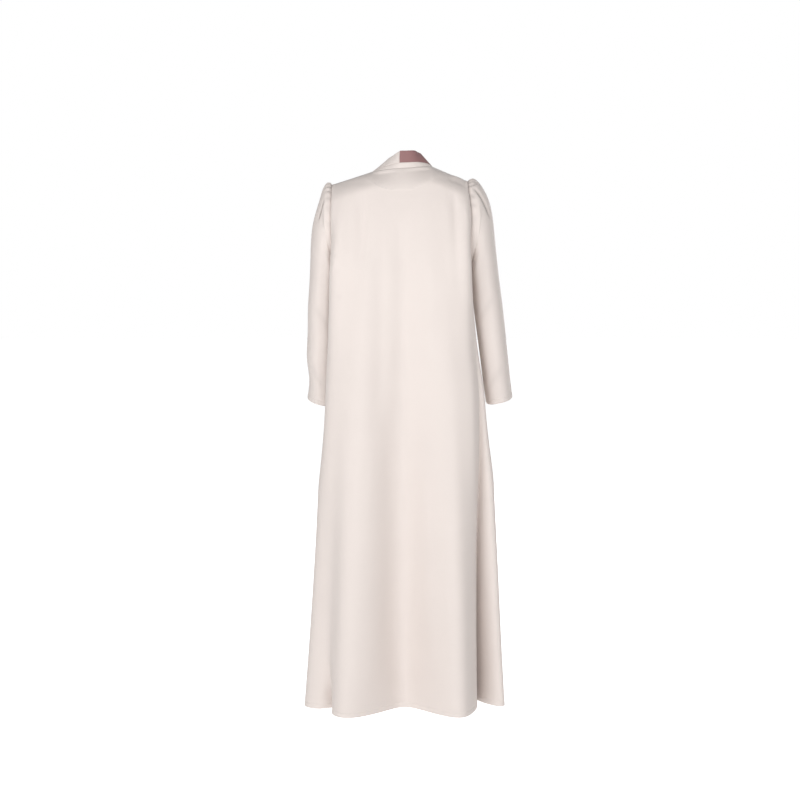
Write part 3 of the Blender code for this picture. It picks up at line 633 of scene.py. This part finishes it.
def thread_material():
    """Spun polyester thread a shade darker than the crepe, with painted shade in diagonal bands for the
    ribs of its twist.
    """
    material = bpy.data.materials.new("cream_thread")
    material.use_nodes = True
    nodes = material.node_tree.nodes
    join = material.node_tree.links.new
    shader = nodes["Principled BSDF"]
    shader.inputs["Roughness"].default_value = 0.5
    place = nodes.new("ShaderNodeTexCoord")
    # Painted shade: a fine diagonal wave darkens the colour in bands, standing for the shaded grooves
    # of the twist.
    twist = nodes.new("ShaderNodeTexWave")
    twist.bands_direction = "DIAGONAL"
    twist.inputs["Scale"].default_value = 900.0
    join(place.outputs["Object"], twist.inputs["Vector"])
    tone = nodes.new("ShaderNodeMapRange")
    tone.inputs["To Min"].default_value = 0.72
    tone.inputs["To Max"].default_value = 0.95
    join(twist.outputs["Fac"], tone.inputs["Value"])
    colour = nodes.new("ShaderNodeVectorMath")
    colour.operation = "SCALE"
    colour.inputs[0].default_value = CREAM[:3]
    join(tone.outputs["Result"], colour.inputs["Scale"])
    join(colour.outputs[0], shader.inputs["Base Color"])
    return material


thread = thread_material()

BACK_COLUMNS = 190
BACK_YOKE_ROWS = 62
BACK_SKIRT_ROWS = 150
back_across = body_columns(-1.0, 1.0, BACK_COLUMNS, "back")
back, back_stitches = body_panel("back_panel", back_across, "back", BACK_YOKE_ROWS, BACK_SKIRT_ROWS,
                                 BACK_CREASES, "back")
back_hem = stitching("back_hem_stitches", *back_stitches)


# Fronts
# Two narrower panels of the same crepe, from the shoulder seams to the hem, which hang open on each
# side of the centre front. Each is sewn to the back at its shoulder and side, and to its band.
FRONT_COLUMNS = 78
FRONT_YOKE_ROWS = 56
FRONT_SKIRT_ROWS = 140
FRONT_CREASES = {
    1: (
        # x top, z top, x foot, z foot, bow, width, out
        (0.120, -0.080, 0.105, -0.420, 0.010, 0.018, -0.0030),
        (0.165, -0.120, 0.150, -0.380, -0.008, 0.014, -0.0026),
        (0.100, -0.450, 0.110, -1.250, 0.006, 0.022, 0.0030),
        (0.160, -0.700, 0.170, -1.400, 0.004, 0.020, -0.0030),
    ),
    -1: (
        # x top, z top, x foot, z foot, bow, width, out
        (-0.115, -0.070, -0.100, -0.460, 0.010, 0.018, -0.0030),
        (-0.160, -0.110, -0.148, -0.350, -0.008, 0.014, -0.0026),
        (-0.105, -0.480, -0.112, -1.200, 0.006, 0.022, 0.0030),
        (-0.165, -0.650, -0.176, -1.400, 0.004, 0.020, -0.0030),
    ),
}
front_across = body_columns(1.0, 2.0, FRONT_COLUMNS, "front")
for side, side_name in ((1, "left"), (-1, "right")):
    front, front_stitches = body_panel("front_panel_" + side_name, side * front_across, "front",
                                       FRONT_YOKE_ROWS, FRONT_SKIRT_ROWS, FRONT_CREASES[side],
                                       "front_" + side_name)
    front_hem = stitching("front_hem_stitches_" + side_name, *front_stitches)


# Sleeves
# Long narrow sleeves of the same crepe. Each cap is gathered into small pleats where it is set into
# the armhole, and each cuff is turned up and topstitched like the hem.
SLEEVE_SECTIONS = {
    1: (
        # along, outer, outer_level, inner, inner_level, middle, half_depth
        (0.02, 0.1920, -0.0345, 0.1800, -0.2515, 0.000, 0.0655),
        (0.05, 0.2000, -0.0370, 0.1806, -0.2535, -0.002, 0.0655),
        (0.09, 0.2105, -0.0520, 0.1812, -0.2565, -0.004, 0.0665),
        (0.14, 0.2200, -0.0790, 0.1818, -0.2610, -0.007, 0.0680),
        (0.20, 0.2305, -0.1120, 0.1824, -0.2670, -0.011, 0.0690),
        (0.27, 0.2395, -0.1480, 0.1826, -0.2770, -0.015, 0.0695),
        (0.35, 0.2445, -0.1950, 0.1828, -0.2930, -0.021, 0.0675),
        (0.44, 0.2465, -0.2440, 0.1828, -0.3160, -0.027, 0.0655),
        (0.53, 0.2495, -0.3000, 0.1828, -0.3480, -0.033, 0.0635),
        (0.63, 0.2540, -0.3620, 0.1830, -0.3960, -0.038, 0.0620),
        (0.73, 0.2555, -0.4300, 0.1840, -0.4560, -0.043, 0.0610),
        (0.83, 0.2585, -0.5000, 0.1855, -0.5220, -0.048, 0.0600),
        (0.92, 0.2525, -0.5620, 0.1870, -0.5800, -0.053, 0.0590),
        (1.00, 0.2575, -0.6100, 0.1885, -0.6260, -0.058, 0.0590),
    ),
    -1: (
        # along, outer, outer_level, inner, inner_level, middle, half_depth
        (0.02, 0.1780, -0.0275, 0.1780, -0.2515, 0.000, 0.0655),
        (0.05, 0.1880, -0.0265, 0.1786, -0.2535, -0.002, 0.0655),
        (0.09, 0.2040, -0.0380, 0.1794, -0.2565, -0.004, 0.0668),
        (0.14, 0.2200, -0.0600, 0.1804, -0.2610, -0.007, 0.0685),
        (0.20, 0.2325, -0.0900, 0.1818, -0.2670, -0.011, 0.0695),
        (0.27, 0.2400, -0.1260, 0.1834, -0.2770, -0.014, 0.0695),
        (0.35, 0.2460, -0.1760, 0.1850, -0.2930, -0.018, 0.0675),
        (0.44, 0.2520, -0.2320, 0.1870, -0.3160, -0.022, 0.0655),
        (0.53, 0.2590, -0.2900, 0.1900, -0.3480, -0.026, 0.0635),
        (0.63, 0.2680, -0.3560, 0.1955, -0.3960, -0.030, 0.0620),
        (0.73, 0.2765, -0.4250, 0.2040, -0.4560, -0.036, 0.0610),
        (0.83, 0.2845, -0.4960, 0.2130, -0.5220, -0.042, 0.0600),
        (0.92, 0.2915, -0.5560, 0.2200, -0.5760, -0.048, 0.0590),
        (1.00, 0.2980, -0.6060, 0.2270, -0.6200, -0.054, 0.0590),
    ),
}
SLEEVE_GIRTH = 0.33
CUFF_SLOPE = 0.14
CAP_PUFF = 0.003
CAP_PUFF_AT = 0.06
BOW_REACH = 0.30
UNDERARM_STEP = 0.008
UNDERARM_AT = 0.055
SLEEVE_FLATNESS = 1.1
PLEAT_SHADOW = 0.48
PLEAT_DEEPEST = 0.009
ARMHOLE_SHADOW = {1: 0.06, -1: 0.26}
SLEEVE_LENGTH = 0.60
SLEEVE_COLUMNS = 176
SLEEVE_ROWS = 200
CAP_ROWS = 34
CAP_FROM = 0.02
CAP_TO = 0.14
SEAM_ROWS = 6
CAP_PLEATS = {
    1: (
        # angle, width, depth, reach
        (-74, 6, 0.0030, 0.10),
        (-58, 8, 0.0050, 0.18),
        (-42, 6, 0.0045, 0.12),
        (-27, 8, 0.0055, 0.20),
        (-12, 5, 0.0040, 0.11),
        (1, 5, 0.0045, 0.13),
        (14, 4.5, 0.0050, 0.11),
        (26, 4.5, 0.0055, 0.12),
        (38, 4.5, 0.0050, 0.09),
        (51, 6, 0.0040, 0.08),
        (69, 7, 0.0025, 0.07),
        (92, 8, 0.0015, 0.06),
    ),
    -1: (
        # angle, width, depth, reach
        (-72, 6, 0.0030, 0.10),
        (-56, 8, 0.0050, 0.20),
        (-38, 7, 0.0060, 0.24),
        (-22, 6, 0.0040, 0.13),
        (-8, 5, 0.0040, 0.12),
        (9, 4.5, 0.0050, 0.11),
        (20, 4.5, 0.0045, 0.12),
        (31, 4.5, 0.0045, 0.10),
        (52, 6, 0.0040, 0.08),
        (66, 6, 0.0030, 0.07),
        (86, 8, 0.0018, 0.06),
    ),
}
SLEEVE_CREASES = {
    1: (
        # angle, along, to angle, to along, bow, width, out
        (53, 0.055, 47, 0.200, 0.0, 0.0036, -0.0110),
        (30, 0.100, 26, 0.300, 0.0, 0.0080, 0.0016),
        (60, 0.60, 130, 0.68, 0.0, 0.016, -0.0010),
        (40, 0.84, 110, 0.92, 0.0, 0.014, -0.0012),
        (250, 0.45, 310, 0.55, 0.0, 0.014, -0.0035),
        (240, 0.62, 320, 0.66, 0.0, 0.012, -0.0030),
        (230, 0.85, 300, 0.78, 0.0, 0.012, -0.0026),
    ),
    -1: (
        # angle, along, to angle, to along, bow, width, out
        (40, 0.015, 38, 0.250, 0.007, 0.0046, -0.0080),
        (34, 0.035, 14, 0.100, 0.0, 0.0030, -0.0026),
        (24, 0.080, 22, 0.340, 0.004, 0.0090, 0.0018),
        (60, 0.56, 140, 0.64, 0.0, 0.016, -0.0010),
        (50, 0.84, 130, 0.92, 0.0, 0.014, -0.0010),
        (250, 0.44, 310, 0.53, 0.0, 0.014, -0.0035),
        (240, 0.60, 320, 0.66, 0.0, 0.012, -0.0030),
        (230, 0.86, 300, 0.80, 0.0, 0.012, -0.0026),
    ),
}


def armhole_ring(side, angle):
    """The armhole's edge: its height goes as the cosine of the angle from the top to the back."""
    middle = (TIP_LEVEL[side] + UNDERARM_LEVEL) / 2
    reach = (TIP_LEVEL[side] - UNDERARM_LEVEL) / 2
    level = middle + reach * np.cos(angle)
    across = np.full_like(level, float(side))
    back_edge = body_point(across, level, "back")
    front_edge = body_point(across, level, "front")
    return np.where((np.sin(angle) >= 0)[:, None], back_edge, front_edge)


def around(angle, middle):
    """Signed difference of two angles in degrees, from -180 to 180."""
    return (np.degrees(angle) - middle + 180.0) % 360.0 - 180.0


def sleeve(name, side, node):
    """A tube of oval rings: centre plus half the slanted width times the cosine, plus half the depth
    times the sine. Behind, next to the body, the oval is flattened: both go to a power below 1.
    Pleats and creases are bells across their lines, and the first ring is the armhole itself."""
    angle = np.linspace(0.0, 2 * np.pi, SLEEVE_COLUMNS, endpoint=False)
    cap = np.linspace(CAP_FROM, CAP_TO, CAP_ROWS)
    end = 1.0 - HEM_ROLL / SLEEVE_LENGTH
    hem = end - HEM_ROWS[::-1] / SLEEVE_LENGTH
    arm = np.linspace(CAP_TO, hem[0], SLEEVE_ROWS - len(cap) - len(hem) + 2)
    places = np.concatenate([cap, arm[1:], hem[1:]])
    table = SLEEVE_SECTIONS[side]
    outer_x, outer_z, inner_x, inner_z, middle_y, half_depth = (
        through(table, places, column)[:, None] for column in range(1, 7))
    zero = np.zeros_like(places)[:, None]
    outer = np.stack([side * outer_x, middle_y, outer_z], axis=-1)
    inner = np.stack([side * inner_x, middle_y, inner_z], axis=-1)
    half = (outer - inner) / 2
    deep = np.stack([zero, half_depth, zero], axis=-1)
    place = np.repeat(places[:, None], SLEEVE_COLUMNS, axis=1)
    turn = np.broadcast_to(angle, place.shape)
    to_body = (np.cos(turn) < 0) & (np.sin(turn) > 0)
    power = np.where(to_body, 2 / (2 + SLEEVE_FLATNESS * smooth(0.05, 0.35, place)), 1.0)
    swing = (np.sign(np.cos(turn)) * np.abs(np.cos(turn)) ** power)[..., None]
    reach = (np.sign(np.sin(turn)) * np.abs(np.sin(turn)) ** power)[..., None]
    points = (outer + inner) / 2 + half * swing + deep * reach
    points[..., 2] -= CUFF_SLOPE * place * reach[..., 0] * half_depth
    outward = unit(half) * swing + [0.0, 1.0, 0.0] * reach
    relief = np.zeros_like(place)
    for middle, width, depth, run_out in CAP_PLEATS[side]:
        relief -= depth * bell(around(turn, middle), width) * (1 - smooth(0.0, run_out, place))
    for from_angle, at, to_angle, to, bow, width, out in SLEEVE_CREASES[side]:
        arm_round = around(turn, from_angle) / 360.0 * SLEEVE_GIRTH
        span = (to_angle - from_angle) / 360.0 * SLEEVE_GIRTH
        relief += relief_lines(arm_round, place * SLEEVE_LENGTH,
                               ((0.0, at * SLEEVE_LENGTH, span, to * SLEEVE_LENGTH, bow, width, out),))
    shade = 1 - PLEAT_SHADOW * np.clip(-relief / PLEAT_DEEPEST, 0.0, 1.0)
    relief += CAP_PUFF * bell(place - CAP_PUFF_AT, CAP_PUFF_AT)
    relief += hem_relief((end - place) * SLEEVE_LENGTH)
    points += outward * relief[..., None]
    seam = armhole_ring(side, angle)
    lowest = armhole_ring(side, np.array([np.pi]))[0]
    straight = (seam[0] + lowest) / 2 + (seam[0] - lowest) / 2 * np.cos(angle)[:, None]
    bow = (seam - straight) * [1.0, 0.0, 0.0]
    points += bow * (1 - smooth(0.0, BOW_REACH, place))[..., None]
    below = 1 - ((1 + np.cos(turn)) / 2) ** 2
    points[..., 0] += side * UNDERARM_STEP * below * bell(place - UNDERARM_AT, UNDERARM_AT)
    ease = np.linspace(0.0, 1.0, SEAM_ROWS + 1)[:-1, None, None] ** 1.5
    points = np.concatenate([seam + (points[0] - seam) * ease, points])
    normals = normals_of(points, closed=True)
    centre = points.mean(axis=1, keepdims=True)
    normals *= np.sign(np.sum(normals * (points - centre), axis=-1).mean())
    from_seam = np.linalg.norm(points - points[:1], axis=-1)
    shade = np.concatenate([np.repeat(shade[:1], SEAM_ROWS, axis=0), shade])
    shade -= ARMHOLE_SHADOW[side] * bell(from_seam, SEAM_DIP_WIDTH)
    points = points + normals * seam_relief(from_seam)[..., None]
    above = np.concatenate([np.full(SEAM_ROWS, SLEEVE_LENGTH), (end - places) * SLEEVE_LENGTH])
    stitch_row = np.argmin(np.abs(above - HEM_TURN))
    stitches = points[stitch_row], normals[stitch_row]
    points = turned_hem(points, normals, above)
    shade = np.concatenate([shade, np.ones((len(points) - len(shade), SLEEVE_COLUMNS))])
    if turns_outward(points, normals, 40, 10):
        points = points[:, ::-1]
        shade = shade[:, ::-1]
    return cloth_piece(name, points, cream_crepe, shade, closed=True, node=node), stitches


for side, side_name in ((1, "left"), (-1, "right")):
    arm, cuff_stitches = sleeve("sleeve_cloth_" + side_name, side, "sleeve_" + side_name)
    cuff = stitching("cuff_stitches_" + side_name, *cuff_stitches, closed=True)


# Neck facing
# A half-moon of the same crepe, fused, behind the back neck. It is seen from inside; over it the
# back has a faint rise and painted shade, with a painted shadow line along its edge.
FACING_BEHIND = 0.0010
FACING_BEHIND_MORE = 0.0008
FACING_CUT_SHORT = 0.92
FACING_BELOW_SEAM = 0.002
FACING_COLUMNS = 60
FACING_ROWS = 22
facing_x = np.linspace(-FACING_CUT_SHORT, FACING_CUT_SHORT, FACING_COLUMNS + 1) * FACING_HALF_WIDTH
even = np.linspace(-1.0, 1.0, FINE_STEPS)
even_x = body_across(even, np.full_like(even, TIP_LEVEL[1]), "back")
facing_across = np.interp(facing_x, even_x, even)
facing_down = FACING_DEPTH * (1 - (facing_x / FACING_HALF_WIDTH) ** 2) ** FACING_ROUNDNESS
facing_share = np.linspace(0.0, 1.0, FACING_ROWS + 1)[:, None]
facing_top = top_level(facing_across, "back") - FACING_BELOW_SEAM
facing_levels = facing_top - facing_share * (facing_down - FACING_BELOW_SEAM)
facing_points = body_point(np.broadcast_to(facing_across, facing_levels.shape), facing_levels, "back")
facing_normals = normals_of(facing_points)
facing_normals *= np.sign(facing_normals[..., 1].mean())
facing_gap = FACING_BEHIND + FACING_BEHIND_MORE * smooth(0.3, 0.9, np.abs(facing_x) / FACING_HALF_WIDTH)
facing_points = facing_points - facing_normals * (CLOTH + facing_gap)[:, None]
facing = cloth_piece("neck_facing_cloth", facing_points, cream_inside, node="neck_facing")


# Collar stand
# A low strip of crepe that stands on the back neck seam and runs out at the neck corners. The
# collar bands are sewn to its upper edge.
STAND_HEIGHT = 0.015
STAND_END_HEIGHT = 0.0012
STAND_ROUNDNESS = 0.6
STAND_REACH = 86.0
COLLAR_STATIONS = {
    1: (
        # along, width, lean
        (0.00, 0.030, 84.0),
        (0.25, 0.031, 61.0),
        (0.45, 0.034, 51.0),
        (0.70, 0.040, 43.0),
        (1.00, 0.044, 33.0),
        (1.40, 0.045, 18.0),
        (2.20, 0.045, 0.0),
    ),
    -1: (
        # along, width, lean
        (0.00, 0.030, 84.0),
        (0.25, 0.030, 80.0),
        (0.50, 0.031, 61.0),
        (0.75, 0.033, 52.0),
        (1.00, 0.037, 43.0),
        (1.45, 0.045, 22.0),
        (2.20, 0.045, 0.0),
    ),
}


def neck_seam(angle):
    """Back neck seam: half width times the sine across and neck depth times the cosine behind."""
    x = NECK_HALF_WIDTH * np.sin(angle)
    corner = np.where(x >= 0, NECK_CORNER_LEVEL[1], NECK_CORNER_LEVEL[-1])
    level = corner * smooth(0.0, NECK_HALF_WIDTH, np.abs(x))
    return np.stack([x, NECK_BACK_DEPTH * np.cos(angle), level], axis=-1)


def rise(direction, lean):
    """Direction across the collar: inwards times the cosine of the lean, up times its sine."""
    tilt = np.radians(lean)[..., None]
    return unit(direction) * np.cos(tilt) + np.array([0.0, 0.0, 1.0]) * np.sin(tilt)


def stand_height(angle):
    """Height of the stand: (1 - s²) to the power 0.6, where s runs from 0 to 1 at its ends."""
    share = np.clip(np.abs(np.degrees(angle)) / STAND_REACH, 0.0, 1.0)
    return STAND_END_HEIGHT + (STAND_HEIGHT - STAND_END_HEIGHT) * (1 - share**2) ** STAND_ROUNDNESS


STAND_COLUMNS = 120
STAND_ROWS = 12
STAND_LAP = 0.06
STAND_ROLL = 0.0008
stand_angle = np.radians(np.linspace(-STAND_REACH, STAND_REACH, STAND_COLUMNS + 1))
stand_seam = neck_seam(stand_angle)
stand_lean = np.where(stand_angle >= 0,
                      through(COLLAR_STATIONS[1], np.abs(stand_angle) / (np.pi / 2), 2),
                      through(COLLAR_STATIONS[-1], np.abs(stand_angle) / (np.pi / 2), 2))
stand_up = rise(stand_seam * [-1.0, -1.0, 0.0], stand_lean)
stand_share = np.linspace(-STAND_LAP, 1 + STAND_LAP, STAND_ROWS + 1)[:, None]
stand_points = stand_seam + stand_up * (stand_share * stand_height(stand_angle))[..., None]
stand_normals = normals_of(stand_points)
stand_normals *= np.sign(stand_normals[..., 1].mean())
stand_roll = STAND_ROLL * (1 - (2 * np.clip(stand_share, 0.0, 1.0) - 1) ** 4) - STAND_ROLL / 2
stand_points = stand_points + stand_normals * stand_roll[..., None]
stand = cloth_piece("collar_stand_cloth", stand_points[:, ::-1], cream_crepe, node="collar_stand")


# Collar bands
# Two straight strips, cream on the wearer's left and mauve on the right, folded double and joined
# near the centre back. Each goes round the neck and down its front edge to the hem.
COLLAR_JOIN = 0.008
CORNER_ANGLE = np.radians(89.5)
V_FOOT_LEVEL = -0.200
FRONT_STRETCH = 1.2
BAND_FOLD = 0.0009
SEAM_GAP = -0.0003
SEAM_CLOSES_IN = 0.030
BAND_NECK_STEPS = 70
BAND_ACROSS = 16
BAND_YOKE_ROWS = 60
BAND_FRONT_ROWS = 190
BAND_SWELL = 0.0006
BAND_ABOVE_HEM = 0.0006


def collar_band(name, side, material, node):
    """A strip folded along its free edge: its foot follows the neck seam and the front edge, its
    width goes along the lean, and the inner layer lies twice the fold's radius inside."""
    start = np.arcsin(COLLAR_JOIN / NECK_HALF_WIDTH)
    angle = np.linspace(start, side * CORNER_ANGLE, BAND_NECK_STEPS)
    seam = neck_seam(angle)
    lean = through(COLLAR_STATIONS[side], np.abs(angle) / (np.pi / 2), 2)
    width = through(COLLAR_STATIONS[side], np.abs(angle) / (np.pi / 2), 1)
    up = rise(seam * [-1.0, -1.0, 0.0], lean)
    back_foot = seam + up * stand_height(angle)[:, None]
    corner = NECK_CORNER_LEVEL[side]
    down = np.linspace(0.0, 1.0, BAND_YOKE_ROWS + 1)[:-1]
    skirt = np.linspace(UNDERARM_LEVEL, HEM_LEVEL + BAND_ABOVE_HEM, BAND_FRONT_ROWS - BAND_YOKE_ROWS)
    levels = np.concatenate([corner + (UNDERARM_LEVEL - corner) * down, skirt])
    foot = body_point(np.full_like(levels, 2.0 * side), levels, "front")
    place = 1 + FRONT_STRETCH * np.clip((corner - levels) / (corner - V_FOOT_LEVEL), 0.0, 1.0)
    front_up = rise(np.tile([-float(side), 0.0, 0.0], (len(levels), 1)),
                    through(COLLAR_STATIONS[side], place, 2))
    closing = smooth(0.0, SEAM_CLOSES_IN, corner - levels)
    apart = STAND_END_HEIGHT + (SEAM_GAP - STAND_END_HEIGHT) * closing
    feet = np.concatenate([back_foot, foot + front_up * apart[:, None]])
    across = np.concatenate([up, front_up])
    width = np.concatenate([width, through(COLLAR_STATIONS[side], place, 1)])
    share = np.linspace(0.0, 1.0, BAND_ACROSS + 1)[None, :, None]
    face = feet[:, None] + across[:, None] * share * width[:, None, None]
    normals = normals_of(face)
    normals *= np.sign(normals[0, 0, 1])
    body = BAND_SWELL * np.sin(np.pi * share)
    outer = face + normals * body
    inner = face - normals * (2 * BAND_FOLD + body)
    bend = np.radians([45.0, 90.0, 135.0])[None, :, None]
    turned = across[:, None] * np.sin(bend) - normals[:, -1:] * (1 - np.cos(bend))
    tip = outer[:, -1:] + BAND_FOLD * turned
    points = np.concatenate([outer, tip, inner[:, ::-1]], axis=1)
    if turns_outward(points, normals, 0, 0):
        points = points[::-1]
    band = cloth_piece(name, points, material, node=node)
    return band


collar_band("collar_band_cream", 1, cream_crepe, "band_left")
collar_band("collar_band_mauve", -1, mauve_crepe, "band_right")


# Studio
# A plain pale floor under the cloak, a white surround, and soft lights from the photograph's left.
FLOOR_LEVEL = -1.557
floor_mesh = bpy.data.meshes.new("studio_floor")
floor_mesh.from_pydata([(-30.0, -30.0, FLOOR_LEVEL), (30.0, -30.0, FLOOR_LEVEL),
                        (30.0, 30.0, FLOOR_LEVEL), (-30.0, 30.0, FLOOR_LEVEL)], [], [(0, 1, 2, 3)])
floor = bpy.data.objects.new("studio_floor", floor_mesh)
bpy.context.scene.collection.objects.link(floor)
floor_paint = bpy.data.materials.new("studio_white")
floor_paint.use_nodes = True
floor_shader = floor_paint.node_tree.nodes["Principled BSDF"]
floor_shader.inputs["Base Color"].default_value = (0.95, 0.95, 0.95, 1.0)
floor_shader.inputs["Roughness"].default_value = 0.9
floor_shader.inputs["Emission Color"].default_value = (1.0, 1.0, 1.0, 1.0)
floor_seen = floor_paint.node_tree.nodes.new("ShaderNodeLightPath")
floor_glow = floor_paint.node_tree.nodes.new("ShaderNodeMapRange")
floor_glow.inputs["To Min"].default_value = 0.35
floor_glow.inputs["To Max"].default_value = 0.80
floor_paint.node_tree.links.new(floor_seen.outputs["Is Camera Ray"], floor_glow.inputs["Value"])
floor_paint.node_tree.links.new(floor_glow.outputs["Result"], floor_shader.inputs["Emission Strength"])
floor_mesh.materials.append(floor_paint)

world = bpy.data.worlds.new("studio")
bpy.context.scene.world = world
world.use_nodes = True
world_nodes = world.node_tree.nodes
surround = world_nodes["Background"]
surround.inputs["Color"].default_value = (1.0, 1.0, 1.0, 1.0)
seen = world_nodes.new("ShaderNodeLightPath")
level_seen = world_nodes.new("ShaderNodeMapRange")
level_seen.inputs["To Min"].default_value = 0.30
level_seen.inputs["To Max"].default_value = 1.0
world.node_tree.links.new(seen.outputs["Is Camera Ray"], level_seen.inputs["Value"])
world.node_tree.links.new(level_seen.outputs["Result"], surround.inputs["Strength"])


def softbox(name, place, aim, size, power):
    """A square lamp that faces its aim: tilted by the angle between down and the way to the aim."""
    lamp = bpy.data.lights.new(name, "AREA")
    lamp.size = size
    lamp.energy = power
    holder = bpy.data.objects.new(name, lamp)
    holder.location = place
    direction = np.array(aim) - np.array(place)
    flat = np.hypot(direction[0], direction[1])
    turn = np.arctan2(direction[1], direction[0]) - np.pi / 2
    holder.rotation_euler = (np.arctan2(flat, -direction[2]), 0.0, turn)
    bpy.context.scene.collection.objects.link(holder)


softbox("key_left", (2.5, 5.0, 1.5), (0.0, 0.0, -0.4), 3.2, 151.0)
softbox("key_right", (-1.5, 5.2, 1.4), (0.0, 0.0, -0.3), 3.2, 88.0)
softbox("front_fill", (-1.5, -4.6, 0.2), (0.0, 0.0, -0.7), 3.0, 90.0)

CAMERA_PLACE = (0.0067, 4.2, -0.297)
CAMERA_LENS = 70.65
CAMERA_LOOKS_DOWN = 4.3
camera_data = bpy.data.cameras.new("camera")
camera_data.lens = CAMERA_LENS
camera_data.sensor_width = 36.0
camera = bpy.data.objects.new("camera", camera_data)
camera.location = CAMERA_PLACE
camera.rotation_euler = (np.radians(90.0 - CAMERA_LOOKS_DOWN), 0.0, np.radians(180.0))
bpy.context.scene.collection.objects.link(camera)
bpy.context.scene.camera = camera
bpy.context.scene.view_settings.view_transform = "Standard"
